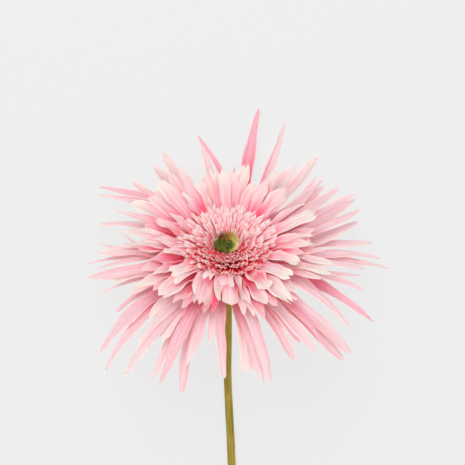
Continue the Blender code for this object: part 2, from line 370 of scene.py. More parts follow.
def blush_group() -> bpy.types.NodeTree:
    """A petal's colour: deep at the throat, then flesh, then cream at its end, streaked
    along its veins, paler on its back. Its height has the veins' ribs and a fine grain.

    Returns:
        The node group.
    """
    sheet = new_group(
        "petal_blush",
        "ShaderNodeTree",
        {
            "Throat": COLOUR,
            "Flesh": COLOUR,
            "Tip": COLOUR,
            "Back": COLOUR,
            "Fade Start": NUMBER,
            "Fade End": NUMBER,
            "Cream Start": NUMBER,
            "Cream End": NUMBER,
            "Veins": NUMBER,
            "Back Share": NUMBER,
        },
        {"Color": COLOUR, "Height": NUMBER, "Roughness": NUMBER},
    )
    given = sheet.inputs()
    place = sheet.add("ShaderNodeUVMap", {"uv_map": PETAL_MAP})
    across = sheet.add("ShaderNodeSeparateXYZ", None, {0: place}, "X")
    along = sheet.add("ShaderNodeSeparateXYZ", None, {0: place}, "Y")
    flush = sheet.attribute("flush")
    cream = sheet.attribute("cream")
    under = sheet.attribute("under")
    # long streaks, which differ from petal to petal
    streaks = sheet.noise(sheet.vector(across * 9.0, along * 1.1, flush * 61.0 + cream * 17.0), 1.0, 3.0)
    stray = streaks - 0.5
    # deep at the throat, further out on a flushed petal
    wander = along + stray * 0.34 - (flush - 0.5) * 0.55
    blush = 1.0 - wander.ramp(given["Fade Start"], given["Fade End"])
    colour = sheet.mix(blush, given["Flesh"], given["Throat"])
    colour = sheet.mix((flush - 0.5).ramp(0.0, 0.5, 0.0, 0.42), colour, given["Throat"])
    # one side of each petal is deeper than the other
    lean = (flush * 47.0 + cream * 29.0).of("SINE") * (across - 0.5)
    colour = sheet.mix(lean.ramp(0.10, 0.5, 0.0, 0.46), colour, given["Throat"])
    colour = sheet.mix(streaks.ramp(0.52, 0.70, 0.0, 0.45), colour, given["Tip"])
    colour = sheet.mix(streaks.ramp(0.46, 0.30, 0.0, 0.30) * (1.0 - along * 0.4), colour, given["Throat"])
    colour = sheet.mix(lean.ramp(0.30, 0.5, 0.0, 0.5) * along.ramp(0.1, 0.5), colour, given["Throat"])
    # creamy patches, end and edges
    patch = sheet.noise(sheet.vector(across * 1.3, along * 2.6, flush * 83.0 + cream * 31.0), 1.0, 2.0)
    colour = sheet.mix(patch.ramp(0.50, 0.72, 0.0, 0.75) * cream, colour, given["Tip"])
    edge = (across - 0.5).of("ABSOLUTE").ramp(0.30, 0.5)
    paling = (along + stray * 0.5 + edge * 0.06).ramp(given["Cream Start"], given["Cream End"])
    colour = sheet.mix(paling * cream, colour, given["Tip"])
    colour = sheet.mix(edge * 0.16, colour, given["Tip"])
    # veins, and a line of painted shade along the petal where a fold would be
    wave = (across * given["Veins"] * 2 * math.pi + stray * 3.0).of("SINE")
    vein = (wave * 0.5 + 0.5) ** 3.0
    colour = sheet.mix(vein * 0.11 * (1.0 - paling * 0.6), colour, given["Throat"])
    # painted shade: a thin deeper line at a random place across the petal stands in for a fold's shade
    fold = (across - 0.5 - (flush * 71.0 + cream * 37.0).of("SINE") * 0.28).of("ABSOLUTE")
    colour = sheet.mix(fold.ramp(0.07, 0.0, 0.0, 0.34) * (1.0 - paling), colour, given["Throat"])
    colour = sheet.mix(under * given["Back Share"], colour, given["Back"])
    grain = sheet.noise(sheet.vector(across * 60.0, along * 26.0, flush * 9.0), 1.0, 3.0)
    height = (vein * 0.7 + grain * 0.5 + streaks * 0.6) * along.ramp(0.95, 0.60)
    feeds = {"Color": colour, "Height": height, "Roughness": grain.ramp(0.2, 0.8, 0.50, 0.66)}
    sheet.add("NodeGroupOutput", None, feeds)
    return sheet.tree


def downy_group() -> bpy.types.NodeTree:
    """A green skin: two greens that wander along its length, ribs and a downy grain.

    Returns:
        The node group.
    """
    sheet = new_group(
        "downy_skin",
        "ShaderNodeTree",
        {"Deep": COLOUR, "Light": COLOUR, "Place": VECTOR, "Ribs": NUMBER},
        {"Color": COLOUR, "Height": NUMBER, "Roughness": NUMBER},
    )
    given = sheet.inputs()
    broad = sheet.noise(given["Place"], 1.0, 2.0)
    fine = sheet.noise(given["Place"], 9.0, 4.0)
    colour = sheet.mix(broad.ramp(0.30, 0.72), given["Deep"], given["Light"])
    colour = sheet.mix(given["Ribs"] * 0.35, colour, given["Light"])
    colour = sheet.mix(fine.ramp(0.55, 0.8) * 0.25, colour, given["Deep"])
    feeds = {
        "Color": colour,
        "Height": fine * 0.6 + given["Ribs"] * 0.5,
        "Roughness": fine.ramp(0.3, 0.7, 0.46, 0.62),
    }
    sheet.add("NodeGroupOutput", None, feeds)
    return sheet.tree


class ShaderGroups:
    """The groups that several finishes share, each built when it is first asked for."""

    makers = {"petal_blush": blush_group, "downy_skin": downy_group}

    @classmethod
    def get(cls, name: str) -> bpy.types.NodeTree:
        """Gives a shared group by name."""
        return bpy.data.node_groups.get(name) or cls.makers[name]()


@dataclass(frozen=True)
class Finish:
    """What every finish of the flower has: soft light inside it, down and a low gloss.

    Attributes:
        name: the material's name.
        depth: share of the light that wanders inside before it leaves.
        wander: how far that light goes in red, green and blue.
        down: strength of the velvet sheen.
        relief: height of the bumps.
        gloss: how strongly it mirrors.
    """

    name: str
    depth: float = 0.0
    wander: tuple[float, float, float] = (0.30 * MM, 0.16 * MM, 0.14 * MM)
    down: float = 0.0
    relief: float = 0.02 * MM
    gloss: float = 0.2

    def start(self) -> tuple[bpy.types.Material, NodeSheet, bpy.types.Node]:
        """Makes the material with its constant values.

        Returns:
            The material, its tree and its shader.
        """
        material = bpy.data.materials.new(self.name)
        material.use_nodes = True
        sheet = NodeSheet(material.node_tree)
        shader = material.node_tree.nodes["Principled BSDF"]
        shader.subsurface_method = "BURLEY"
        shader.inputs["Subsurface Weight"].default_value = self.depth
        shader.inputs["Subsurface Radius"].default_value = self.wander
        shader.inputs["Subsurface Scale"].default_value = 1.0
        shader.inputs["Sheen Weight"].default_value = self.down
        shader.inputs["Sheen Roughness"].default_value = 0.4
        shader.inputs["Specular IOR Level"].default_value = self.gloss
        return material, sheet, shader

    def wear(
        self,
        shader: bpy.types.Node,
        colour: Wire,
        roughness: Wire,
        height: Wire,
        strength: float = 0.6,
    ) -> None:
        """Joins a colour, a roughness and bumps to the shader.

        Args:
            shader: the material's Principled BSDF.
            colour: its base colour.
            roughness: its roughness.
            height: of its bumps, where 1 is as high as the relief.
            strength: of its bumps.
        """
        sheet = colour.sheet
        sheet.feed(shader.inputs["Base Color"], colour)
        sheet.feed(shader.inputs["Roughness"], roughness)
        sheet.feed(shader.inputs["Normal"], sheet.bump(height, self.relief, strength))


@dataclass(frozen=True)
class PetalFinish(Finish):
    """A petal: its colours, and where along it they change."""

    depth: float = 0.45
    down: float = 0.12
    throat: Colour = paint("F85C88")
    flesh: Colour = paint("F8D3DB")
    tip: Colour = paint("F8E8E2")
    back: Colour = paint("F4D9CC")
    fade: tuple[float, float] = (0.12, 0.60)
    creaming: tuple[float, float] = (0.55, 1.0)
    veins: float = 5.0
    back_share: float = 0.55

    def material(self) -> bpy.types.Material:
        """Makes the petal's material.

        Returns:
            The material.
        """
        material, sheet, shader = self.start()
        feeds = {
            "Throat": self.throat,
            "Flesh": self.flesh,
            "Tip": self.tip,
            "Back": self.back,
            "Fade Start": self.fade[0],
            "Fade End": self.fade[1],
            "Cream Start": self.creaming[0],
            "Cream End": self.creaming[1],
            "Veins": self.veins,
            "Back Share": self.back_share,
        }
        settings = {"node_tree": ShaderGroups.get("petal_blush")}
        blush = sheet.add("ShaderNodeGroup", settings, feeds, "Color")
        self.wear(shader, blush, blush.beside("Roughness"), blush.beside("Height"))
        return material


@dataclass(frozen=True)
class GreenFinish(Finish):
    """A green skin whose pattern is drawn out along the piece."""

    depth: float = 0.12
    wander: tuple[float, float, float] = (0.5 * MM, 0.6 * MM, 0.2 * MM)
    down: float = 0.25
    deep: Colour = paint("938328")
    light: Colour = paint("BEA84A")
    grain: tuple[float, float, float] = (900.0, 90.0, 900.0)

    def material(self) -> bpy.types.Material:
        """Makes the skin's material.

        Returns:
            The material.
        """
        material, sheet, shader = self.start()
        feeds = {"Vector": sheet.own_spot(), "Scale": self.grain}
        place = sheet.add("ShaderNodeMapping", None, feeds)
        settings = {"node_tree": ShaderGroups.get("downy_skin")}
        feeds = {"Deep": self.deep, "Light": self.light, "Place": place, "Ribs": sheet.attribute("rib")}
        skin = sheet.add("ShaderNodeGroup", settings, feeds, "Color")
        self.wear(shader, skin, skin.beside("Roughness"), skin.beside("Height"))
        return material


@dataclass(frozen=True)
class CutFinish(Finish):
    """The stalk's cut face: a green rind round pale, moist pith."""

    depth: float = 0.3
    rind: Colour = paint("8C8A3C")
    pith: Colour = paint("D8DDB0")

    def material(self, middle: Vector, radius: float) -> bpy.types.Material:
        """Makes the cut face's material.

        Args:
            middle: the middle of the cut face.
            radius: of the cut face.

        Returns:
            The material.
        """
        material, sheet, shader = self.start()
        spot = sheet.own_spot()
        away = sheet.vector_math("SUBTRACT", spot, tuple(middle))
        distance = sheet.measure("LENGTH", away) / radius
        cells = sheet.noise(spot, 2600.0, 3.0)
        colour = sheet.mix((distance + cells * 0.25).ramp(0.72, 0.98), self.pith, self.rind)
        self.wear(shader, colour, cells.ramp(0.3, 0.7, 0.28, 0.5), cells, 0.7)
        return material


@dataclass(frozen=True)
class BudFinish(Finish):
    """The eye's buds: dark green in the dish, yellow-green round it, rusty on one side."""

    depth: float = 0.15
    dark: Colour = paint("414C16")
    green: Colour = paint("868A38")
    fresh: Colour = paint("DCD480")
    rust: Colour = paint("C8923C")
    brown: Colour = paint("8A5430")
    cream: Colour = paint("F2E8BC")
    pale: Colour = paint("FCDCD2")
    radius: float = 5.1 * MM

    def material(self, head: HeadFrame) -> bpy.types.Material:
        """Makes the buds' material.

        Args:
            head: the head's frame, whose axis the rings of colour go round.

        Returns:
            The material.
        """
        material, sheet, shader = self.start()
        spot = sheet.own_spot()
        moved = sheet.vector_math("SUBTRACT", spot, tuple(head.centre))
        x = sheet.measure("DOT_PRODUCT", moved, tuple(head.turned(RIGHT))) / self.radius
        y = sheet.measure("DOT_PRODUCT", moved, tuple(head.turned(AHEAD))) / self.radius
        height = sheet.measure("DOT_PRODUCT", moved, tuple(head.face)) / MM
        ring = (x * x + y * y).of("SQRT")
        mottle = sheet.noise(spot, 1500.0, 3.0)
        bud = sheet.noise(spot, 1100.0, 2.0)
        fresh = (ring * 0.75 + mottle * 0.7 + x * 0.46 + y * 0.26 - 0.35).ramp(0.50, 0.90)
        rusty = (y * 1.1 - x.ramp(0.1, 0.9) * 0.8 + mottle * 0.5 - 0.2).ramp(0.30, 0.66)
        warm = (bud + x * 0.45 + 0.02).ramp(0.42, 0.60)
        creamy = ring.ramp(0.76, 1.0) * (y + x * 0.5 + 0.6).ramp(0.0, 0.4) * (1.0 - rusty * 0.7)
        colour = sheet.mix(bud.ramp(0.38, 0.62), self.dark, self.green)
        colour = sheet.mix(fresh, colour, self.fresh)
        colour = sheet.mix(rusty * 0.8, colour, sheet.mix(warm, self.brown, self.rust))
        colour = sheet.mix(creamy, colour, self.cream)
        colour = sheet.mix((height + mottle - 0.5).ramp(1.6, 3.6), colour, self.pale)
        self.wear(shader, colour, mottle.ramp(0.3, 0.7, 0.42, 0.6), mottle, 0.4)
        return material


# ---- blades ----


class TipShape(NamedTuple):
    """How a blade ends."""

    share: float  # of the full width that is left at the end
    sharpness: float  # a higher one keeps the blade wide for longer
    lobes: int
    notch: float  # depth of the notches beside the lobes, as a share of the length


class Tip(Enum):
    """The ends that this flower's petals have."""

    WISPY = TipShape(0.10, 1.5, 1, 0.02)
    POINTED = TipShape(0.14, 2.6, 1, 0.03)
    LANCE = TipShape(0.16, 1.9, 1, 0.03)
    TAPERED = TipShape(0.36, 3.0, 1, 0.04)
    ROUND = TipShape(0.46, 3.8, 1, 0.07)
    NOTCHED = TipShape(0.60, 3.6, 2, 0.07)
    TOOTHED = TipShape(0.66, 3.8, 3, 0.07)
    FORKED = TipShape(0.46, 2.2, 2, 0.13)


@dataclass(frozen=True)
class Spine:
    """The curve that the middle of a blade follows.

    Attributes:
        points: four control points of a cubic, in the world, from foot to tip.
        facing: the way the blade's upper side looks at its foot.
        resting: the way it looks from the middle on, where it differs.
    """

    points: tuple[Vector, Vector, Vector, Vector]
    facing: Vector
    resting: Optional[Vector] = None

    def spot(self, t: float) -> Vector:
        """Gives the point at a share t of the curve."""
        a, b, c, d = self.points
        u = 1 - t
        return a * u**3 + b * (3 * u * u * t) + c * (3 * u * t * t) + d * t**3

    def axes(self, t: float) -> tuple[Vector, Vector, Vector]:
        """Gives the blade's own directions at a share t of the curve.

        Args:
            t: share of the curve.

        Returns:
            Unit vectors along the blade, across it and out of its upper side.
        """
        a, b, c, d = self.points
        u = 1 - t
        along = ((b - a) * (u * u) + (c - b) * (2 * u * t) + (d - c) * (t * t)).normalized()
        facing = self.facing
        if self.resting is not None:
            facing = facing.lerp(self.resting, smooth_step(0.25, 0.75, t))
        side = along.cross(facing).normalized()
        return along, side, side.cross(along)


@dataclass(frozen=True)
class BladeCut:
    """A blade's outline and how it is bent about its spine.

    Attributes:
        width: at its widest.
        tip: how it ends.
        foot: share of the width at the foot.
        widest: share of the length where it is widest.
        trough: how far its edges stand over its middle, as a share of the half width.
        droop: the same at the tip, where edges often fall instead.
        crease: depth of the fold along the middle, as a share of the half width.
        twist: turn about the spine from foot to tip, in radians.
        sway: how far the middle swings out sideways.
        swing: how far the tip's end swings the other way.
        ruffle: height of the waves along the edges.
        waves: how many there are.
        phase: where they start.
        lopsided: how much shorter one side's lobe is, as a share of the notch.
        snake: how far the middle swings out one way and then the other.
        ragged: how unevenly the edges run, as a share of the half width.
        beats: how often the right and the left edge do so.
        ribbing: height of the ribs along it, as a share of the width.
        thickness: in the middle of the blade.
    """

    width: float
    tip: Tip = Tip.POINTED
    foot: float = 0.36
    widest: float = 0.42
    trough: float = 0.16
    droop: float = 0.0
    crease: float = 0.0
    twist: float = 0.0
    sway: float = 0.0
    swing: float = 0.0
    ruffle: float = 0.0
    waves: float = 2.0
    phase: float = 0.0
    lopsided: float = 0.0
    snake: float = 0.0
    ragged: float = 0.0
    beats: tuple[float, float] = (2.7, 3.4)
    ribbing: float = 0.05
    thickness: float = 0.42 * MM

    @property
    def columns(self) -> int:
        """Faces across the blade, which put lobes and notches on whole columns."""
        return 12 if self.tip.value.lobes == 3 else 8

    def half(self, t: float) -> float:
        """Half the blade's width at a share t of its length."""
        if t < self.widest:
            share = self.foot + (1 - self.foot) * smooth_step(0, self.widest, t)
        else:
            late = (t - self.widest) / (1 - self.widest)
            share = 1 - (1 - self.tip.value.share) * late**self.tip.value.sharpness
        return self.width / 2 * share

    def edge(self, across: float, t: float) -> float:
        """How far a line of the blade runs from its middle.

        Args:
            across: the line, from -1 at one edge to 1 at the other.
            t: share of the length.

        Returns:
            The distance, which the edges' unevenness stretches or shrinks.
        """
        beat = self.beats[0] if across > 0 else self.beats[1]
        uneven = math.sin(2 * math.pi * beat * t + self.phase * beat) * smooth_step(0.1, 0.5, t)
        return across * self.half(t) * (1 + self.ragged * uneven)

    def reach(self, across: float) -> float:
        """How far the blade goes along one line.

        Args:
            across: the line, from -1 at one edge to 1 at the other.

        Returns:
            The share of the blade's length that this line reaches.
        """
        shape = self.tip.value
        place = (across + 1) / 2 * shape.lobes
        valley = abs(2 * (place - math.floor(place)) - 1)
        if shape.lobes == 1:
            valley = across * across
        short = self.lopsided * (0.5 + 0.5 * across) * shape.notch
        return 1 - shape.notch * valley**1.4 - short

    def lift(self, across: float, t: float) -> float:
        """Height of the blade's middle layer over its spine.

        Args:
            across: from -1 at one edge to 1 at the other.
            t: share of the length.

        Returns:
            The height.
        """
        half = self.half(t)
        bowl = self.trough + (self.droop - self.trough) * smooth_step(0.35, 1.0, t)
        edge = across * across
        raised = half * bowl * (2 * edge - 0.8)
        folded = half * self.crease * (abs(across) - 0.5) * 2
        ribs = self.ribbing * self.width * math.cos(3 * math.pi * across)
        ribs *= 1 - smooth_step(0.7, 1.0, t)
        wave = math.sin(2 * math.pi * self.waves * t + self.phase + 1.3 * across)
        return raised + folded + ribs + self.ruffle * edge * edge * wave * smooth_step(0.1, 0.5, t)


class Tone(NamedTuple):
    """A blade's place between the colours of its finish."""

    flush: float = 0.5  # 0 pale, 1 as deep as the throat
    cream: float = 0.5  # how creamy its end is


class BladeMesher:
    """Collects blades as closed, thin shells and turns them into one mesh."""

    rows = 26
    crowding = 0.45  # how much closer the rows stand at the tip
    edge_thinning = 0.5
    tip_thinning = 0.45
    lowest = 0.06 * MM  # nothing dips under the table
    upper_gap = 0.18 * MM  # and upper sides stay this much higher
    rim_under = 0.45  # how much the edge wears of the back's colour

    def __init__(self) -> None:
        """Starts with nothing."""
        self.spots: list[Vector] = []
        self.places: list[tuple[float, float]] = []
        self.under: list[float] = []
        self.flush: list[float] = []
        self.cream: list[float] = []
        self.faces: list[tuple[int, ...]] = []

    def add(self, spine: Spine, cut: BladeCut, tone: Tone) -> None:
        """Adds one blade.

        Args:
            spine: the curve that it follows.
            cut: its outline and section.
            tone: its colours.
        """
        columns, rows = cut.columns, self.rows
        upper: dict[tuple[int, int], int] = {}
        lower: dict[tuple[int, int], int] = {}
        for row in range(rows + 1):
            share = row / rows
            share *= 1 + self.crowding * (1 - share)
            for column in range(columns + 1):
                across = 2 * column / columns - 1
                t = share * cut.reach(across)
                middle, normal = self.layer_spot(spine, cut, across, t)
                thinned = (1 - self.edge_thinning * across * across) * (1 - self.tip_thinning * t)
                rise = normal * (cut.thickness / 2 * thinned)
                key, place = (column, row), ((across + 1) / 2, t)
                if column in (0, columns) or row in (0, rows):
                    upper[key] = lower[key] = self.add_spot(middle, place, self.rim_under, tone)
                else:
                    upper[key] = self.add_spot(middle + rise, place, 0.0, tone)
                    lower[key] = self.add_spot(middle - rise, place, 1.0, tone)
        for row in range(rows):
            for column in range(columns):
                ring = [(column, row), (column + 1, row), (column + 1, row + 1), (column, row + 1)]
                self.faces.append(tuple(upper[k] for k in ring))
                self.faces.append(tuple(lower[k] for k in reversed(ring)))

    def layer_spot(self, spine: Spine, cut: BladeCut, across: float, t: float) -> tuple[Vector, Vector]:
        """Finds a spot of a blade's middle layer.

        Args:
            spine: the curve that the blade follows.
            cut: its outline and section.
            across: from -1 at one edge to 1 at the other.
            t: share of the length.

        Returns:
            The spot, and the way the upper side looks there.
        """
        along, side, normal = spine.axes(t)
        drift = cut.sway * math.sin(math.pi * t) + cut.swing * smooth_step(0.55, 1.0, t)
        drift += cut.snake * math.sin(2 * math.pi * t) * smooth_step(0.0, 0.4, t)
        start = spine.spot(t) + side * drift
        angle = cut.twist * smooth_step(0.15, 1.0, t)
        turned_side = side * math.cos(angle) + normal * math.sin(angle)
        turned_normal = normal * math.cos(angle) - side * math.sin(angle)
        spot = start + turned_side * cut.edge(across, t) + turned_normal * cut.lift(across, t)
        return spot, turned_normal

    def add_spot(self, spot: Vector, place: tuple[float, float], under: float, tone: Tone) -> int:
        """Adds a vertex with its values.

        Args:
            spot: where it is, in the world.
            place: across and along the blade, each from 0 to 1.
            under: 0 on the blade's upper side, 1 on its underside.
            tone: the blade's colours.

        Returns:
            The vertex's number.
        """
        spot.z = max(spot.z, self.lowest + (0 if under else self.upper_gap))
        self.spots.append(spot)
        self.places.append(place)
        self.under.append(under)
        self.flush.append(tone.flush)
        self.cream.append(tone.cream)
        return len(self.spots) - 1

    def mesh(self, name: str) -> bpy.types.Mesh:
        """Turns what was added into a mesh.

        Args:
            name: the mesh's name.

        Returns:
            The mesh, with its petal map and its flush, cream and under values.
        """
        mesh = bpy.data.meshes.new(name)
        mesh.from_pydata(self.spots, [], self.faces)
        petal_map = mesh.uv_layers.new(name=PETAL_MAP)
        for loop in mesh.loops:
            petal_map.data[loop.index].uv = self.places[loop.vertex_index]
        for label, values in (("under", self.under), ("flush", self.flush), ("cream", self.cream)):
            store = mesh.attributes.new(label, "FLOAT", "POINT")
            store.data.foreach_set("value", values)
        mesh.shade_smooth()
        mesh.set_sharp_from_angle(angle=math.radians(75))
        return mesh


# ---- placing pieces ----


class Assembly:
    """Puts finished meshes into the scene as pieces of the flower."""

    def place(
        self, name: str, mesh: bpy.types.Mesh, slot: str, replaced: Sequence[str] = ()
    ) -> None:
        """Adds a piece, with its place already in its mesh.

        Args:
            name: the piece's name.
            mesh: its mesh, in the world.
            slot: the record's material slot for the piece, which is only written to the log.
            replaced: solids that it stands for.
        """
        mesh.name = name
        piece = bpy.data.objects.new(name, mesh)
        bpy.context.scene.collection.objects.link(piece)
        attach(piece, BODY)
        if replaced:
            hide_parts(*replaced)
        LOG.info("%s: %d faces in %s", name, len(mesh.polygons), slot)


# ---- outer rays ----


@dataclass(frozen=True)
class Ray:
    """An outer ray, by what a plan of the flower shows.

    Attributes:
        bearing: of the tip from the head's centre, degrees from +X.
        reach: of the tip from the head's centre, mm.
        storey: its row on the receptacle, the lowest first.
        turn: how far the tip lies round from the foot, degrees.
        width: at its widest, mm.
        tip: how it ends.
        flush: how deep its pink is.
        cream: how creamy its end is.
        sway: how far its middle swings out, mm.
        swing: how far its end swings sideways, mm.
        twist: degrees that it turns about itself.
        crease: depth of its fold.
    """

    bearing: float
    reach: float
    storey: float
    turn: float
    width: float = 5.0
    tip: Tip = Tip.POINTED
    flush: float = 0.5
    cream: float = 0.4
    sway: float = 0.0
    swing: float = 0.0
    twist: float = 0.0
    crease: float = 0.0


SOLID_RAYS = (
    Ray(-0.4, 62.5, 0, 0, 4.4, Tip.TAPERED, 0.42, 0.5),
    Ray(8.8, 57.5, 2, 5, 6.0, sway=4.8),
    Ray(13.7, 59, 4, 12, 5.2, flush=0.55, cream=0.35, sway=4.2),
    Ray(19.8, 59.5, 0, 1, 6.0, Tip.NOTCHED, 0.55, 0.3, sway=0.8),
    Ray(26, 55, 3, 1, 5.2, flush=0.6, cream=0.3, sway=2.2),
    Ray(30, 49, 1, 0, 5.0, flush=0.45, sway=1.2),
    Ray(33, 50, 4, 0, 4.4, flush=0.55, cream=0.3, sway=1.8),
    Ray(36.6, 49, 0, 0, 3.6, flush=0.55, cream=0.2, sway=0.6),
    Ray(43.6, 54.8, 2, -1, 4.8, Tip.TAPERED, 0.05, 0.7, sway=-0.6),
    Ray(47, 45.6, 4, -1, 5.4, flush=0.2, cream=0.8, sway=0.2),
    Ray(64.3, 59, 0, 3, 5.0, Tip.WISPY, 0.12, 0.4, crease=0.15, sway=-0.5),
    Ray(76.5, 60, 2, 0, 5.6, flush=0.8, cream=0.0, crease=0.2, sway=-0.4),
    Ray(105, 48, 1, 4, 3.4, flush=0.2, cream=0.8, crease=0.3, sway=0.7),
    Ray(125.6, 48, 2, 1, 5.2, Tip.TAPERED, 0.0, 0.8),
    Ray(134, 46, 4, -1, 6.6, flush=0.2, cream=0.5),
    Ray(147.4, 49, 1, 1, 6.0, flush=0.2, cream=0.5),
    Ray(156.8, 61, 0, 9, 5.0, Tip.WISPY, 0.7, 0.1, sway=5.4),
    Ray(160.3, 60, 4, 8, 4.6, Tip.WISPY, 0.3, 0.5, sway=1.8),
    Ray(172.2, 56, 2, 4, 4.8, cream=0.5, sway=2.2),
    Ray(181.2, 56.5, 0, -3, 4.6, Tip.WISPY, 0.45, 0.7, sway=-3.0, swing=0.8),
    Ray(185.3, 55.4, 3, -1, 5.8, flush=0.35, cream=0.7, sway=-1.0),
    Ray(188.9, 60, 1, -1, 4.4, Tip.WISPY, 0.5, 0.4, sway=0.8),
    Ray(194.4, 60.2, 4, -1, 5.6, flush=0.6, twist=22, crease=0.2, sway=-4.0),
    Ray(212.2, 54.6, 0, 3, 6.6, flush=0.65, cream=0.2, twist=-20, sway=1.0),
    Ray(221, 69.2, 2, 2, 6.8, flush=0.62, cream=0.2, sway=2.1),
    Ray(227, 73.4, 1, 1, 4.6, cream=0.5, sway=4.2),
    Ray(232.6, 68, 3, 0, 5.0, Tip.TAPERED, 0.3, 0.8, sway=-0.8),
    Ray(241.6, 65, 0, -1, 4.4, Tip.FORKED, 0.3, 0.6, sway=0.8),
    Ray(244.7, 62.5, 4, 1, 5.6, flush=0.7, cream=0.1, sway=-1.0),
    Ray(253.2, 64.2, 1, 5, 5.0, Tip.TAPERED, 0.45, 0.3, sway=2.2),
    Ray(269, 55, 3, 4, 4.3, Tip.TAPERED, 0.4, 0.4, crease=0.25, sway=1.6),
    Ray(278.8, 54, 0, 1, 6.2, Tip.TOOTHED, 0.25, 0.6, sway=-1.7),
    Ray(283.8, 60.6, 2, 3, 4.4, Tip.FORKED, 0.5, 0.3),
    Ray(287, 59, 4, -1, 4.6, Tip.TAPERED, 0.38),
    Ray(300, 55.4, 1, 1, 4.8, Tip.ROUND, 0.52, 0.3, sway=-1.2),
    Ray(309.2, 57, 3, 2, 4.8, Tip.ROUND, 0.42, 0.4, sway=0.8),
    Ray(314.6, 68, 0, -3, 5.6, Tip.TAPERED, 0.52, 0.3, sway=0.6),
    Ray(318.2, 67.5, 2, -8, 6.4, Tip.TAPERED, 0.45, 0.4, sway=3.0),
    Ray(325.2, 61.4, 4, -4, 6.4, Tip.WISPY, 0.38, 0.4, sway=-1.8),
    Ray(331.4, 69.4, 1, -3, 6.6, Tip.WISPY, 0.75, 0.0, sway=-3.2),
    Ray(340.4, 61, 3, 0, 5.0, flush=0.55, cream=0.3),
    Ray(349, 59.5, 2, 3, 4.0, Tip.TAPERED, 0.42, 0.3),
    Ray(350.6, 70, 0, 8, 5.2, Tip.WISPY, 0.5, 0.3, sway=-3.4),
    Ray(353.8, 65.8, 1, -1, 4.4, flush=0.48, sway=1.0),
)
SLENDER_RAYS = (
    Ray(16, 54, 1.4, 4, 3.2, sway=2.2),
    Ray(50, 40.5, 3.4, 2, 6.4, Tip.TAPERED, 0.55, 0.5),
    Ray(106, 48.5, 1.8, 12, 2.8, flush=0.88, cream=0.1, sway=3.8),
    Ray(164.6, 51, 1.6, 5, 1.8, Tip.WISPY, 0.4, 0.8, sway=-2.0),
    Ray(181.4, 48.5, 3.2, -2, 2.6, Tip.WISPY, 0.4, 0.8, sway=-2.6, swing=8.0),
    Ray(182, 45, 3.8, -5, 4.2, Tip.TAPERED, 0.35, 0.9, sway=-1.0),
    Ray(192, 58, 2.4, -2, 3.2, Tip.WISPY, 0.42, 0.4, sway=2.4),
    Ray(199, 50, 4.2, 0, 6.2, Tip.TAPERED, 0.25, 0.9, sway=-1.2),
    Ray(202.4, 57, 2.2, -3, 3.4, Tip.WISPY, 0.4, 0.5),
    Ray(218.3, 59, 1.1, 0, 4.4, flush=0.55, cream=0.2, sway=1.0),
    Ray(208, 45, 3.4, 1, 5.6, Tip.TAPERED, 0.4, 0.8, sway=-0.4),
    Ray(224, 44, 3.8, 0, 5.4, Tip.TAPERED, 0.35, 0.9, sway=0.6),
    Ray(228.4, 54, 3.8, 0, 4.4, Tip.TAPERED, 0.25, 0.9, sway=-1.2),
    Ray(236, 48.4, 3.6, 0, 5.2, Tip.NOTCHED, 0.25, 0.9),
    Ray(251.7, 53, 2.6, 0, 5.4, flush=0.3, cream=0.6),
    Ray(260.4, 41, 3.4, 0, 3.4, Tip.TAPERED, 0.2, 0.6, sway=0.5),
    Ray(305.8, 51, 2.2, 0, 5.0, flush=0.72, cream=0.1, sway=-0.6),
    Ray(313, 59, 2.6, -1, 3.8, flush=0.8, cream=0.1, sway=-0.8),
    Ray(345.8, 57.5, 1.5, 0, 3.8, Tip.WISPY, 0.6, 0.2, sway=4.2),
)


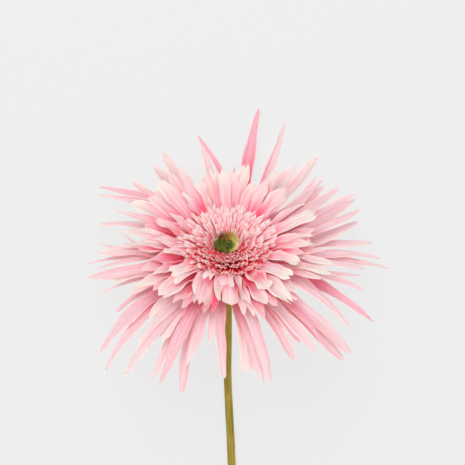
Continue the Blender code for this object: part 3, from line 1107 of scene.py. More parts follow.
@dataclass
class OuterRays(Assembly):
    """The long outer rays, storey over storey, of which the lowest meet the table."""

    head: HeadFrame
    finish: PetalFinish
    foot_radius: float = 8.8 * MM
    lowest_foot: float = -13.8 * MM
    storey: float = 1.05 * MM
    launch: float = math.radians(4)
    launch_step: float = math.radians(5)
    droop: float = math.radians(-16)
    droop_step: float = math.radians(2)
    near_droop: float = math.radians(8)
    table_rest: float = 0.13 * MM
    table_stack: float = 0.9 * MM
    foot_pull: float = 0.34  # share of its length for which a ray holds its first course
    tip_pull: float = 0.30  # and its last
    tip_bend: float = 0.25  # how much a free end turns away from the face
    seed: int = 7

    def tip_of(self, ray: Ray) -> tuple[Vector, bool]:
        """Finds a ray's tip: on its storey's drooping cone round the head's axis, or on
        the table where the cone is below it.

        Args:
            ray: the ray.

        Returns:
            The tip, in the world, and whether it lies on the table.
        """
        bearing, reach = math.radians(ray.bearing), ray.reach * MM
        offset = Vector((reach * math.cos(bearing), reach * math.sin(bearing), 0))
        hang = self.near_droop * max(0, -math.sin(bearing))
        sink = math.sin(self.droop + ray.storey * self.droop_step - hang)
        upright = math.cos(self.head.tilt)
        lean = offset.y * math.sin(self.head.tilt)
        spread = upright**2 - sink**2
        offset.z = (sink * math.sqrt(lean**2 + spread * reach**2) - lean * upright) / spread
        tip = self.head.centre + offset
        table = self.table_rest + ray.storey * self.table_stack
        on_table = tip.z < table
        tip.z = max(tip.z, table)
        return tip, on_table

    def spine(self, ray: Ray) -> Spine:
        """Bends a ray from the receptacle to its tip.

        Args:
            ray: the ray.

        Returns:
            Its spine, in the world.
        """
        tip, on_table = self.tip_of(ray)
        seen = self.head.matrix.inverted() @ tip
        azimuth = math.atan2(seen.y, seen.x) - math.radians(ray.turn)
        outward = Vector((math.cos(azimuth), math.sin(azimuth), 0))
        foot = outward * self.foot_radius + UP * (self.lowest_foot + ray.storey * self.storey)
        launch = self.launch + ray.storey * self.launch_step
        leaving = self.head.turned(outward * math.cos(launch) + UP * math.sin(launch))
        foot = self.head.matrix @ foot
        span = (tip - foot).length
        first = foot + leaving * (self.foot_pull * span)
        arriving = (tip - first).normalized()
        if on_table:
            arriving.z = 0
        else:
            arriving -= self.head.face * self.tip_bend
        second = tip - arriving.normalized() * (self.tip_pull * span)
        return Spine((foot, first, second, tip), self.head.face, UP if on_table else None)

    def cut(self, ray: Ray, chance: random.Random) -> BladeCut:
        """Gives a ray its outline and section.

        Args:
            ray: the ray.
            chance: the source of what differs at random from ray to ray.

        Returns:
            The cut.
        """
        return BladeCut(
            width=ray.width * MM,
            tip=ray.tip,
            trough=chance.uniform(0.10, 0.26),
            droop=chance.uniform(-0.22, 0.12),
            crease=ray.crease,
            twist=math.radians(ray.twist + chance.uniform(-9, 9)),
            sway=(ray.sway + chance.uniform(-0.7, 0.7)) * MM,
            swing=ray.swing * MM,
            ruffle=chance.uniform(0.2, 0.5) * MM,
            waves=chance.uniform(1.4, 3.0),
            phase=chance.uniform(0, 6.28),
            lopsided=chance.uniform(-0.4, 0.6),
            snake=chance.uniform(-0.6, 0.6) * MM,
            ragged=chance.uniform(0.04, 0.14),
        )

    def build(self) -> None:
        """Builds every outer ray as a piece of its own."""
        material = self.finish.material()
        chance = random.Random(self.seed)
        rays = [(f"outer_ligule_{i:02d}", f"outer_ray_{i:02d}", r) for i, r in enumerate(SOLID_RAYS, 1)]
        rays += [(f"slender_ligule_{i:02d}", None, r) for i, r in enumerate(SLENDER_RAYS, 1)]
        for name, solid, ray in rays:
            mesher = BladeMesher()
            mesher.add(self.spine(ray), self.cut(ray, chance), Tone(ray.flush, ray.cream))
            mesh = mesher.mesh(name)
            mesh.materials.append(material)
            self.place(name, mesh, "outer_ray", [solid] if solid else ())


# ---- inner rays ----


@dataclass(frozen=True)
class InnerRay:
    """An inner ray, by what a plan of the flower shows. What a Ray has too means the same.

    Attributes:
        lift: how much higher its tip stands than its storey's, mm.
        trough: how far its edges rise.
        droop: how far they rise at the tip.
        arch: how much its end turns down.
    """

    bearing: float
    reach: float
    width: float
    storey: float
    tip: Tip = Tip.ROUND
    flush: float = 0.4
    cream: float = 0.6
    lift: float = 0.0
    turn: float = 0.0
    trough: float = 0.3
    droop: float = 0.0
    twist: float = 0.0
    crease: float = 0.0
    arch: float = 0.2


INNER_RAYS = (
    # far side, from right to left
    InnerRay(18, 38.5, 6.6, 2, Tip.TOOTHED, 0.30, 0.95),
    InnerRay(26, 36.5, 3.6, 2, Tip.LANCE, 0.35, 0.8, twist=25),
    InnerRay(36, 34, 3.4, 2, Tip.LANCE, 0.3, 0.9, twist=30),
    InnerRay(43, 33.5, 7.0, 2, Tip.LANCE, 0.62, 0.4, twist=-22, trough=0.45),
    InnerRay(56, 36, 5.4, 1, Tip.ROUND, 0.25, 0.95),
    InnerRay(56, 30.5, 6.0, 2, Tip.LANCE, 0.56, 0.3, twist=-18),
    InnerRay(66, 27, 4.6, 1, Tip.TAPERED, 0.3, 0.8, crease=0.3),
    InnerRay(76, 33, 5.2, 1, Tip.NOTCHED, 0.2, 0.95),
    InnerRay(84.4, 31.8, 1.8, 0, Tip.POINTED, 0.9, 0.0),
    InnerRay(86, 29.5, 5.6, 1, Tip.TAPERED, 0.35),
    InnerRay(96, 29.6, 6.6, 2, Tip.NOTCHED, 0.22, 0.9, crease=0.3),
    InnerRay(103, 31.7, 3.2, 1, Tip.TAPERED, 0.2, 0.8),
    InnerRay(108, 29, 4.6, 0, Tip.TAPERED, 0.5, 0.3),
    InnerRay(115, 27.5, 4.6, 1, Tip.TOOTHED, 0.35, 0.9),
    InnerRay(123.5, 32.4, 6.8, 2, Tip.LANCE, 0.52, 0.4, twist=16, trough=0.4),
    InnerRay(123, 37.6, 4.6, 1, Tip.LANCE, 0.15, 0.8),
    InnerRay(130, 39.5, 4.8, 0, Tip.LANCE, 0.3, 0.7),
    InnerRay(132, 28, 3.4, 2.6, Tip.LANCE, 0.55, 0.9, crease=0.4, twist=24),
    InnerRay(138, 38.5, 6.8, 1, Tip.TAPERED, 0.18, 1.0),
    InnerRay(144.5, 37, 7.0, 0, Tip.LANCE, 0.6, 0.4),
    InnerRay(150, 38, 6.0, 1, Tip.LANCE, 0.55, 0.3),
    # left
    InnerRay(153, 27, 3.6, 2.6, Tip.LANCE, 0.4, 0.8, lift=2),
    InnerRay(158, 43, 7.0, 1, Tip.TAPERED, 0.35, 1.0, crease=0.2),
    InnerRay(163.5, 44, 5.4, 0.4, Tip.LANCE, 0.6, 0.4),
    InnerRay(163, 31, 5.6, 2, Tip.LANCE, 0.65, 0.4),
    InnerRay(169, 35, 5.0, 0, Tip.POINTED, 0.85, 0.1),
    InnerRay(174, 45, 5.4, 1, Tip.LANCE, 0.3, 0.95),
    InnerRay(177, 30, 5.4, 2, Tip.LANCE, 0.6, 0.4),
    InnerRay(181, 40, 5.4, 1, Tip.LANCE, 0.45),
    InnerRay(184.5, 37, 4.8, 0.6, Tip.POINTED, 1.0, 0.0),
    InnerRay(188, 27, 5.6, 2, Tip.LANCE, 0.5, 0.6, crease=0.2),
    InnerRay(192.5, 33, 6.0, 1, Tip.LANCE, 0.9, 0.2),
    InnerRay(198, 38, 5.4, 0.4, Tip.LANCE, 0.7, 0.5),
    InnerRay(203, 33.5, 5.4, 1, Tip.LANCE, 0.75, 0.5),
    InnerRay(206, 42, 5.8, 0, Tip.LANCE, 0.45, 0.8),
    InnerRay(208.6, 27.5, 5.6, 2, Tip.NOTCHED, 0.45, 0.8, twist=14),
    InnerRay(213, 37, 5.4, 0, Tip.LANCE, 0.75, 0.3),
    InnerRay(218, 28, 4.8, 2, Tip.LANCE, 0.5, 0.9),
    InnerRay(219.5, 36, 7.6, 1, Tip.NOTCHED, 0.4, 0.8, crease=0.2),
    # near side
    InnerRay(228, 34, 5.8, 0, Tip.LANCE, 0.66, 0.3),
    InnerRay(236, 33, 6.0, 0, Tip.LANCE, 0.72, 0.2),
    InnerRay(246.5, 28.6, 9.2, 1.6, Tip.TOOTHED, 0.66, 0.4, lift=-1, trough=-0.3, droop=-0.5, arch=0.9),
    InnerRay(240, 18.6, 5.0, 2.6, Tip.TOOTHED, 0.25, 0.95, lift=-0.6, arch=0.8, trough=-0.2),
    InnerRay(252, 31, 3.8, 0, Tip.POINTED, 0.85, 0.1),
    InnerRay(258, 30, 3.2, 1, Tip.POINTED, 1.25, 0.0),
    InnerRay(262, 25, 4.2, 1.8, Tip.ROUND, 0.35, 0.9, twist=40, arch=0.7),
    InnerRay(264, 19.6, 6.4, 2.2, Tip.NOTCHED, 0.52, 0.7, lift=-1, trough=-0.2, droop=-0.5, arch=0.8),
    InnerRay(273, 26.8, 7.0, 1, Tip.ROUND, 0.56, 0.6, arch=0.8, trough=-0.3, droop=-0.3),
    InnerRay(277, 20, 2.6, 2.4, Tip.POINTED, 0.1, 1.0, twist=30, arch=0.6),
    InnerRay(283, 31.4, 4.0, 0, Tip.LANCE, 0.4, 0.5),
    InnerRay(286, 25, 2.8, 2, Tip.LANCE, 0.25, 1.0, twist=50, arch=0.4),
    InnerRay(291, 27.5, 4.0, 1, Tip.LANCE, 0.6, 0.6, twist=-20),
    InnerRay(290.7, 33, 3.0, 0, Tip.POINTED, 0.3, 0.8),
    InnerRay(296, 35.5, 5.6, 0, Tip.LANCE, 0.75, 0.3),
    InnerRay(302.5, 30.7, 5.8, 1, Tip.ROUND, 0.6, 0.6, trough=0.4),
    InnerRay(308, 34, 5.2, 0, Tip.LANCE, 0.78, 0.3),
    InnerRay(311, 26, 7.2, 2, Tip.ROUND, 0.66, 0.9, trough=0.35),
    # right
    InnerRay(317, 36.6, 7.0, 1, Tip.FORKED, 0.32, 0.95, crease=0.3),
    InnerRay(320, 38.6, 2.8, 0, Tip.ROUND, 0.5, 0.3),
    InnerRay(324.6, 34.5, 7.0, 0, Tip.TAPERED, 0.62, 0.4),
    InnerRay(332, 30.6, 6.2, 2, Tip.NOTCHED, 0.25, 1.0),
    InnerRay(339, 42, 4.8, 0, Tip.LANCE, 0.5, 0.7, twist=20),
    InnerRay(343, 45, 4.6, 0.6, Tip.TAPERED, 0.3, 1.0),
    InnerRay(343.6, 31.4, 6.0, 2, Tip.TOOTHED, 0.22, 1.0, crease=0.2),
    InnerRay(348.5, 46, 4.0, 1, Tip.LANCE, 0.35, 0.9, turn=-3, twist=18),
    InnerRay(352, 33, 4.0, 1.6, Tip.POINTED, 0.8, 0.2),
    InnerRay(355, 41, 5.0, 0, Tip.LANCE, 0.65, 0.4),
    InnerRay(358.5, 36.4, 5.0, 1.6, Tip.LANCE, 0.3, 1.0, crease=0.2),
    InnerRay(1, 35, 6.4, 0.4, Tip.LANCE, 0.66, 0.4),
    InnerRay(4, 36, 4.6, 2, Tip.LANCE, 0.4, 1.0, twist=14, crease=0.3),
    InnerRay(9, 37, 5.0, 0, Tip.LANCE, 0.7, 0.3),
    InnerRay(238, 25.5, 5.4, 2.2, Tip.LANCE, 0.5, 0.8, trough=0.2, arch=0.4),
)


@dataclass
class InnerRays(Assembly):
    """The short broad rays over the long ones."""

    head: HeadFrame
    finish: PetalFinish
    foot_radius: float = 8.9 * MM
    lowest_foot: float = -8.6 * MM
    storey: float = 1.1 * MM
    launch: float = math.radians(22)
    launch_step: float = math.radians(8)
    tip_height: float = 3.2 * MM
    far_height: float = 3.6 * MM
    near_drop: float = 1.5 * MM
    tip_step: float = 1.2 * MM
    foot_pull: float = 0.40  # share of its length for which a ray holds its first course
    tip_pull: float = 0.30  # and its last
    # painted shade: the inner rays on the stalk's side are flushed deeper pink
    painted_near_shade: float = 0.12  # how much deeper the pink is on the stalk's side
    seed: int = 11

    def spine(self, ray: InnerRay) -> Spine:
        """Bends a ray from the receptacle to its tip.

        Args:
            ray: the ray.

        Returns:
            Its spine, in the world.
        """
        north = math.sin(math.radians(ray.bearing))
        height = self.tip_height + self.far_height * north + self.near_drop * min(0.0, north)
        height += ray.storey * self.tip_step + ray.lift * MM
        tip = self.head.below(ray.bearing, ray.reach * MM, height)
        azimuth = math.atan2(tip.y, tip.x) - math.radians(ray.turn)
        outward = Vector((math.cos(azimuth), math.sin(azimuth), 0))
        foot = outward * self.foot_radius + UP * (self.lowest_foot + ray.storey * self.storey)
        launch = self.launch + ray.storey * self.launch_step
        leaving = outward * math.cos(launch) + UP * math.sin(launch)
        span = (tip - foot).length
        first = foot + leaving * (self.foot_pull * span)
        arriving = (tip - first).normalized() - UP * ray.arch
        second = tip - arriving.normalized() * (self.tip_pull * span)
        points = tuple(self.head.matrix @ p for p in (foot, first, second, tip))
        return Spine(points, self.head.face)

    def cut(self, ray: InnerRay, chance: random.Random) -> BladeCut:
        """Gives a ray its outline and section.

        Args:
            ray: the ray.
            chance: the source of what differs at random from ray to ray.

        Returns:
            The cut.
        """
        return BladeCut(
            width=ray.width * MM,
            tip=ray.tip,
            foot=0.42,
            widest=0.66,
            trough=ray.trough,
            droop=ray.droop + chance.uniform(-0.12, 0.12),
            crease=ray.crease,
            twist=math.radians(ray.twist + chance.uniform(-8, 8)),
            sway=chance.uniform(-0.9, 0.9) * MM,
            ruffle=chance.uniform(0.3, 0.75) * MM,
            waves=chance.uniform(1.4, 3.0),
            phase=chance.uniform(0, 6.28),
            lopsided=chance.uniform(-0.8, 0.9),
            snake=chance.uniform(-0.5, 0.5) * MM,
            ragged=chance.uniform(0.06, 0.16),
        )

    def build(self) -> None:
        """Builds every inner ray as a piece of its own."""
        material = self.finish.material()
        chance = random.Random(self.seed)
        whorls = [f"inner_ray_whorl_{i}" for i in (1, 2, 3)]
        for number, ray in enumerate(INNER_RAYS, 1):
            name = f"inner_ligule_{number:02d}"
            mesher = BladeMesher()
            # painted shade: a deeper flush on the stalk's side
            flush = ray.flush + self.painted_near_shade * max(0.0, -math.sin(math.radians(ray.bearing)))
            mesher.add(self.spine(ray), self.cut(ray, chance), Tone(flush, ray.cream))
            mesh = mesher.mesh(name)
            mesh.materials.append(material)
            self.place(name, mesh, "inner_ray", [whorls[number - 1]] if number <= 3 else ())


# ---- what repeats by rule ----


class Rule:
    """A Geometry Nodes tree with named inputs, run once and frozen to a plain mesh."""

    # the socket for each kind of value
    kinds = (
        (bpy.types.Object, "NodeSocketObject"),
        (bpy.types.Material, "NodeSocketMaterial"),
        (int, "NodeSocketInt"),
        (float, NUMBER),
    )

    def __init__(self, name: str, inputs: dict) -> None:
        """Makes the tree.

        Args:
            name: the tree's name.
            inputs: value of each input, by name: an object, a material or a number.
        """
        geometry = {"Geometry": "NodeSocketGeometry"}
        sockets = dict(geometry)
        for label, value in inputs.items():
            sockets[label] = next(kind for sort, kind in self.kinds if isinstance(value, sort))
        self.sheet = new_group(name, "GeometryNodeTree", sockets, geometry)
        self.values = inputs
        self.given = self.sheet.inputs()

    def chance(self, low: Feed, high: Feed, seed: int) -> Wire:
        """Gives each point a random value between two numbers."""
        feeds = {"Min": low, "Max": high, "Seed": seed}
        return self.sheet.add("FunctionNodeRandomValue", {"data_type": "FLOAT"}, feeds, "Value")

    def choice(self, count: int, seed: int) -> Wire:
        """Gives each point a random whole number from 0 to below a count."""
        feeds = {"Min": 0, "Max": count - 1, "Seed": seed}
        return self.sheet.add("FunctionNodeRandomValue", {"data_type": "INT"}, feeds, "Value")

    def store(self, geometry: Wire, name: str, value: Feed) -> Wire:
        """Writes a named value on every point."""
        settings = {"data_type": "FLOAT", "domain": "POINT"}
        feeds = {"Geometry": geometry, "Name": name, "Value": value}
        return self.sheet.add("GeometryNodeStoreNamedAttribute", settings, feeds)

    def templates(self, labels: Sequence[str]) -> Wire:
        """Joins input objects as a set to pick from; the last one linked counts first."""
        infos = []
        for label in reversed(labels):
            feeds = {"Object": self.given[label], "As Instance": True}
            infos.append(self.sheet.add("GeometryNodeObjectInfo", None, feeds, "Geometry"))
        return self.sheet.add("GeometryNodeJoinGeometry", None, {"Geometry": infos})

    def finish(self, instances: Wire) -> bpy.types.Mesh:
        """Ends the tree and runs it.

        Args:
            instances: the copies to realise, which wear the input named Material.

        Returns:
            A plain mesh.
        """
        real = self.sheet.add("GeometryNodeRealizeInstances", None, {"Geometry": instances})
        feeds = {"Geometry": real, "Material": self.given["Material"]}
        dressed = self.sheet.add("GeometryNodeSetMaterial", None, feeds)
        self.sheet.add("NodeGroupOutput", None, {"Geometry": dressed})
        carrier = bpy.data.objects.new(self.sheet.tree.name, bpy.data.meshes.new("carrier"))
        bpy.context.scene.collection.objects.link(carrier)
        modifier = carrier.modifiers.new("Rule", "NODES")
        modifier.node_group = self.sheet.tree
        for item in self.sheet.tree.interface.items_tree:
            if item.in_out == "INPUT" and item.name in self.values:
                modifier[item.identifier] = self.values[item.name]
        graph = bpy.context.evaluated_depsgraph_get()
        mesh = bpy.data.meshes.new_from_object(carrier.evaluated_get(graph), depsgraph=graph)
        carrier.modifiers.remove(modifier)
        bpy.data.objects.remove(carrier)
        return mesh


def hidden(name: str, mesh: bpy.types.Mesh) -> bpy.types.Object:
    """Puts a mesh in an object that a Rule copies, which isn't itself a piece."""
    shape = bpy.data.objects.new(name, mesh)
    bpy.context.scene.collection.objects.link(shape)
    return shape


class RingPlace:
    """Where each floret stands in the ring, as values that its rule can use."""

    def __init__(self, rank: Wire, azimuth: Wire) -> None:
        """Works the values out.

        Args:
            rank: place in the order from the eye outwards, from 0 to 1.
            azimuth: angle round the head's axis.
        """
        self.rank = rank
        self.cosine, self.sine = azimuth.of("COSINE"), azimuth.of("SINE")
        self.nearness = 0.5 - self.sine * 0.5  # 0 on the far side, 1 on the stalk's side
        self.leftness = 0.5 - self.cosine * 0.5
        self.front = self.nearness.ramp(0.55, 0.95)
        self.inmost = self.front * rank.ramp(0.40, 0.0)  # next to the eye, in front
        self.rim = self.front * rank.ramp(0.75, 1.0)  # furthest from it, in front
        self.young = rank.ramp(0.30, 0.02)  # next to the eye, all round


class LipStyle(NamedTuple):
    """How one kind of floret lip is cut and bent. Each stop is a row of its corners: its
    share of the length, and of the way from the foot's colour to the end's.
    """

    columns: int
    stops: tuple[tuple[float, float], ...]
    half: tuple[float, float]  # least and most half width, mm
    frill: tuple[float, float]  # least and most height of the waves across it, mm
    waves: float  # how many there are across it
    drop: float  # how far its end bends down, mm
    hem: float  # how far its last edge turns down, mm


@dataclass
class TransFlorets(Assembly):
    """The ring of short frilled florets between the rays and the eye. They come in turn
    round the head, as its spirals do, in whorls that lean further out from eye to rim.
    At the far side they are narrow strips. On the stalk's side, where an onlooker sees
    them end on, they are broad ruffles.
    """

    head: HeadFrame
    material: bpy.types.Material
    count: int = 350
    whorls: int = 6
    foot_inner: float = 4.4 * MM
    foot_outer: float = 8.3 * MM
    foot_height: float = -5.4 * MM
    tip_inner: float = 5.0 * MM
    tip_outer: float = 22.5 * MM
    tip_height: float = 2.4 * MM
    swell: float = 1.0 * MM  # how much higher the tips stand in the middle of the ring
    unevenness: float = 0.6 * MM
    front_reach: float = 2.0 * MM  # how much further out the inmost front tips are
    front_sink: float = 1.6 * MM  # and how much lower
    rim_sink: float = 1.4 * MM  # how much lower the outmost front tips are
    body: float = 0.11 * MM  # half a lip's thickness
    shapes: int = 4  # of each style
    strip: LipStyle = LipStyle(
        columns=6,
        stops=tuple((row / 5, row / 5) for row in range(6)),
        half=(0.70, 0.96),
        frill=(0.30, 0.55),
        waves=1.7,
        drop=0.25,
        hem=0.0,
    )
    ruffle: LipStyle = LipStyle(
        columns=9,
        stops=((0, 0), (0.4, 0.2), (0.66, 0.36), (0.84, 0.52), (0.94, 0.66), (1, 1)),
        half=(1.35, 1.9),
        frill=(0.36, 0.56),
        waves=1.5,
        drop=-0.9,
        hem=0.38,
    )

    def template(self, number: int) -> bpy.types.Object:
        """Makes one floret lip, one unit long on +Y with its upper side to +Z, and as
        wide and thick as it is in metres.

        Args:
            number: which of the shapes, which differ in width, end and frill; the
                strips come first, then the ruffles.

        Returns:
            The hidden object that is copied.
        """
        chance = random.Random(100 + number)
        style = self.strip if number < self.shapes else self.ruffle
        pointed = number % self.shapes == 1
        columns, rows = style.columns, len(style.stops) - 1
        half = chance.uniform(*style.half) * MM
        frill = chance.uniform(*style.frill) * MM
        phase = chance.uniform(0, 6.28)
        shape = bmesh.new()
        layer = shape.loops.layers.uv.new(PETAL_MAP)
        under = shape.verts.layers.float.new("under")
        place = {}
        keys: dict[tuple[int, int, int], bmesh.types.BMVert] = {}
        for row, (t, tint) in enumerate(style.stops):
            width = half * (0.55 + 0.45 * smooth_step(0.1, 0.72, t))
            down = style.drop * smooth_step(0.6, 1.0, t) + style.hem * smooth_step(0.93, 1.0, t)
            for column in range(columns + 1):
                across = 2 * column / columns - 1
                tooth = 0.13 * abs(across) ** 1.5 if pointed else 0.09 * (column % 2 == 0)
                wave = math.cos(style.waves * math.pi * across + phase) * smooth_step(0.2, 0.9, t)
                cup = width * 0.45 * (across * across - 0.4)
                spot = Vector((across * width, t * (1 - tooth), frill * wave + cup - down * MM))
                rim = column in (0, columns) or row in (0, rows)
                for side in (1,) if rim else (1, -1):
                    vert = shape.verts.new(spot + UP * (0 if rim else side * self.body))
                    vert[under] = 1.0 if side < 0 else 0.0
                    keys[(column, row, side)] = vert
                    place[vert] = ((across + 1) / 2, tint)
                if rim:
                    keys[(column, row, -1)] = keys[(column, row, 1)]
        for row in range(rows):
            for column in range(columns):
                ring = ((column, row), (column + 1, row), (column + 1, row + 1), (column, row + 1))
                shape.faces.new([keys[(*k, 1)] for k in ring])
                shape.faces.new([keys[(*k, -1)] for k in reversed(ring)])
        for face in shape.faces:
            face.smooth = True
            for loop in face.loops:
                loop[layer].uv = place[loop.vert]
        mesh = bpy.data.meshes.new(f"floret_lip_{number}")
        shape.to_mesh(mesh)
        shape.free()
        mesh.set_sharp_from_angle(angle=math.radians(100))
        return hidden(mesh.name, mesh)

    def ends(self, rule: Rule, place: RingPlace) -> tuple[Wire, Wire]:
        """Finds each floret's foot and tip.

        Args:
            rule: the tree that they grow in.
            place: where they stand in the ring.

        Returns:
            The foot and the tip, in the head's axes.
        """
        given = rule.given
        foot = self.between(place.rank, given["Foot Inner"], given["Foot Outer"])
        spread = given["Tip Outer"] - given["Tip Inner"]
        evenly = self.between(place.rank, given["Tip Inner"], given["Tip Outer"])
        share = (evenly - given["Tip Inner"]) / spread
        whorl = (share * given["Whorls"] * 0.999).of("FLOOR") + 0.5 + rule.chance(-0.22, 0.22, 2)
        tip = given["Tip Inner"] + spread * whorl / given["Whorls"] + place.inmost * self.front_reach
        height = given["Tip Height"] + (place.rank * math.pi).of("SINE") * self.swell
        height = height + rule.chance(-1.0, 1.0, 3) * (1.0 - place.front * 0.6) * self.unevenness
        height = height - place.inmost * self.front_sink - place.rim * self.rim_sink
        foot_spot = rule.sheet.vector(foot * place.cosine, foot * place.sine, given["Foot Height"])
        tip_spot = rule.sheet.vector(tip * place.cosine, tip * place.sine, height)
        return foot_spot, tip_spot

    def turn(self, rule: Rule, place: RingPlace, chord: Wire) -> Wire:
        """Points each floret along its chord, upper side inwards, and rolls it a little.

        Args:
            rule: the tree that they grow in.
            place: where they stand in the ring.
            chord: from foot to tip.

        Returns:
            The rotation.
        """
        sheet = rule.sheet
        inward = sheet.vector(place.cosine * -0.6, place.sine * -0.6, 1.0)
        align = "FunctionNodeAlignRotationToVector"
        along = sheet.add(align, {"axis": "Y"}, {"Vector": chord})
        facing = sheet.add(align, {"axis": "Z", "pivot_axis": "Y"}, {"Rotation": along, "Vector": inward})
        roll = sheet.vector(0.0, rule.chance(-0.32, 0.32, 4) * (1.0 - place.front * 0.65), 0.0)
        rolled = sheet.add("FunctionNodeEulerToRotation", None, {0: roll})
        feeds = {"Rotation": facing, "Rotate By": rolled}
        return sheet.add("FunctionNodeRotateRotation", {"rotation_space": "LOCAL"}, feeds)

    def tint(self, rule: Rule, place: RingPlace, points: Wire) -> Wire:
        """Colours each floret: deeper at the left, paler round the eye, with painted shade as a deeper flush
        on the stalk's side and the front, and painted light as creamier lip ends at the front.

        Args:
            rule: the tree that they grow in.
            place: where they stand in the ring.
            points: one for each floret.

        Returns:
            The points with their flush and cream.
        """
        # painted shade: the stalk's side (nearness) and the front get a deeper flush
        flush = place.leftness * 0.14 + place.nearness * 0.45 + place.front * 0.12
        flush = flush - place.young * 0.6 * (1.0 - place.front) + rule.chance(0.0, 0.36, 5)
        # painted light: the front's lip ends are made creamier
        cream = rule.chance(0.45, 1.0, 6) + place.young * 0.6 + place.front * 0.7
        return rule.store(rule.store(points, "flush", flush), "cream", cream)

    def build(self) -> None:
        """Grows the florets and places them as one piece."""
        templates = [self.template(i) for i in range(2 * self.shapes)]
        labels = [f"Lip {i}" for i in range(2 * self.shapes)]
        inputs = {
            "Material": self.material,
            "Count": self.count,
            "Foot Inner": self.foot_inner,
            "Foot Outer": self.foot_outer,
            "Foot Height": self.foot_height,
            "Tip Inner": self.tip_inner,
            "Tip Outer": self.tip_outer,
            "Tip Height": self.tip_height,
            "Whorls": float(self.whorls),
            "Spiral": GOLDEN_TURN,
        }
        inputs.update(zip(labels, templates))
        rule = Rule("trans_floret_rule", inputs)
        sheet, given = rule.sheet, rule.given
        index = sheet.add("GeometryNodeInputIndex")
        azimuth = index * given["Spiral"] + rule.chance(-0.10, 0.10, 1)
        place = RingPlace((index + 0.5) / given["Count"], azimuth)
        foot, tip = self.ends(rule, place)
        chord = sheet.vector_math("SUBTRACT", tip, foot)
        points = sheet.add("GeometryNodePoints", None, {"Count": given["Count"], "Position": foot})
        girth = rule.chance(0.75, 1.2, 7) * (place.rank + place.nearness * 0.2).ramp(0.0, 0.5, 0.40, 1.0)
        ruffled = place.nearness + place.cosine * 0.08 + rule.chance(-0.12, 0.12, 9)
        feeds = {
            "Points": self.tint(rule, place, points),
            "Instance": rule.templates(labels),
            "Pick Instance": True,
            "Instance Index": rule.choice(self.shapes, 8) + ruffled.above(0.74) * self.shapes,
            "Rotation": self.turn(rule, place, chord),
            "Scale": sheet.vector(girth, sheet.measure("LENGTH", chord), girth),
        }
        mesh = rule.finish(sheet.add("GeometryNodeInstanceOnPoints", None, feeds))
        for template in templates:
            bpy.data.objects.remove(template)
        mesh.transform(self.head.matrix)
        self.place("trans_florets", mesh, "trans_floret", [f"trans_floret_whorl_{i}" for i in range(1, 6)])

    @staticmethod
    def between(rank: Wire, inner: Wire, outer: Wire) -> Wire:
        """Gives the radius that spaces points evenly over a ring, by their rank."""
        return (inner**2.0 + (outer**2.0 - inner**2.0) * rank).of("SQRT")


@dataclass
class DiscBuds(Assembly):
    """The unopened buds of the eye, in the same spirals, in a shallow dish."""

    head: HeadFrame
    finish: BudFinish
    count: int = 230
    radius: float = 5.0 * MM
    depth: float = -1.6 * MM
    bud: float = 0.50 * MM
    bud_sides: int = 8
    bud_rows: int = 6
    bud_length: float = 1.7  # as a share of its width
    bud_taper: float = 0.25

    def template(self) -> bpy.types.Object:
        """Makes one bud, a blunt closed spindle on +Z, one unit in radius.

        Returns:
            The hidden object that is copied.
        """
        shape = bmesh.new()
        rings = []
        for row in range(1, self.bud_rows):
            polar = math.pi * row / self.bud_rows
            height = self.bud_length * math.cos(polar)
            width = math.sin(polar) * (1 - self.bud_taper * max(0.0, height))
            turns = [2 * math.pi * side / self.bud_sides for side in range(self.bud_sides)]
            spots = [(width * math.cos(turn), width * math.sin(turn), height) for turn in turns]
            rings.append([shape.verts.new(spot) for spot in spots])
        top, bottom = (shape.verts.new(UP * height) for height in (self.bud_length, -self.bud_length))
        for i in range(self.bud_sides):
            j = (i + 1) % self.bud_sides
            shape.faces.new((top, rings[0][i], rings[0][j]))
            for upper, lower in zip(rings, rings[1:]):
                shape.faces.new((upper[i], lower[i], lower[j], upper[j]))
            shape.faces.new((bottom, rings[-1][j], rings[-1][i]))
        for face in shape.faces:
            face.smooth = True
        mesh = bpy.data.meshes.new("bud")
        shape.to_mesh(mesh)
        shape.free()
        return hidden("bud", mesh)

    def build(self) -> None:
        """Grows the buds and places them as one piece."""
        inputs = {
            "Material": self.finish.material(self.head),
            "Bud": self.template(),
            "Count": self.count,
            "Radius": self.radius,
            "Depth": self.depth,
            "Bud Radius": self.bud,
        }
        rule = Rule("disc_bud_rule", inputs)
        sheet, given = rule.sheet, rule.given
        index = sheet.add("GeometryNodeInputIndex")
        rank = (index + 0.5) / given["Count"]
        azimuth = index * GOLDEN_TURN
        cosine, sine = azimuth.of("COSINE"), azimuth.of("SINE")
        out = rank.of("SQRT") * given["Radius"] * (1.04 - sine * 0.06)
        height = given["Depth"] * (1.0 - rank**1.5) + rule.chance(-0.15, 0.15, 1) * MM
        spot = sheet.vector(out * cosine, out * sine, height)
        points = sheet.add("GeometryNodePoints", None, {"Count": given["Count"], "Position": spot})
        rim = rank.ramp(0.60, 0.90) * (sine + cosine * 0.5).ramp(0.0, 0.7)
        slant = rank * -0.5 * (1.0 - rim)
        lean = sheet.vector(cosine * slant, sine * slant, 1.0)
        turn = sheet.add("FunctionNodeAlignRotationToVector", {"axis": "Z"}, {"Vector": lean})
        girth = given["Bud Radius"] * (rank * 0.15 + 0.8) * rule.chance(0.8, 1.15, 2)
        girth = girth * (1.0 - rim * 0.34)
        stature = 1.0 + rank.ramp(0.55, 1.0) * rule.chance(0.3, 1.0, 3) + rim * rule.chance(2.0, 6.0, 4)
        feeds = {
            "Points": points,
            "Instance": rule.templates(["Bud"]),
            "Rotation": turn,
            "Scale": sheet.vector(girth, girth, girth * stature),
        }
        mesh = rule.finish(sheet.add("GeometryNodeInstanceOnPoints", None, feeds))
        bpy.data.objects.remove(inputs["Bud"])
        mesh.transform(self.head.matrix)
        self.place("disc_buds", mesh, "disc_eye", ["disc_eye"])


# ---- bracts ----


class BractWhorl(NamedTuple):
    """One ring of bracts: the curve's four points are (radius, height) in mm."""

    solid: Optional[str]
    bracts: int
    width: float
    curve: tuple[tuple[float, float], ...]


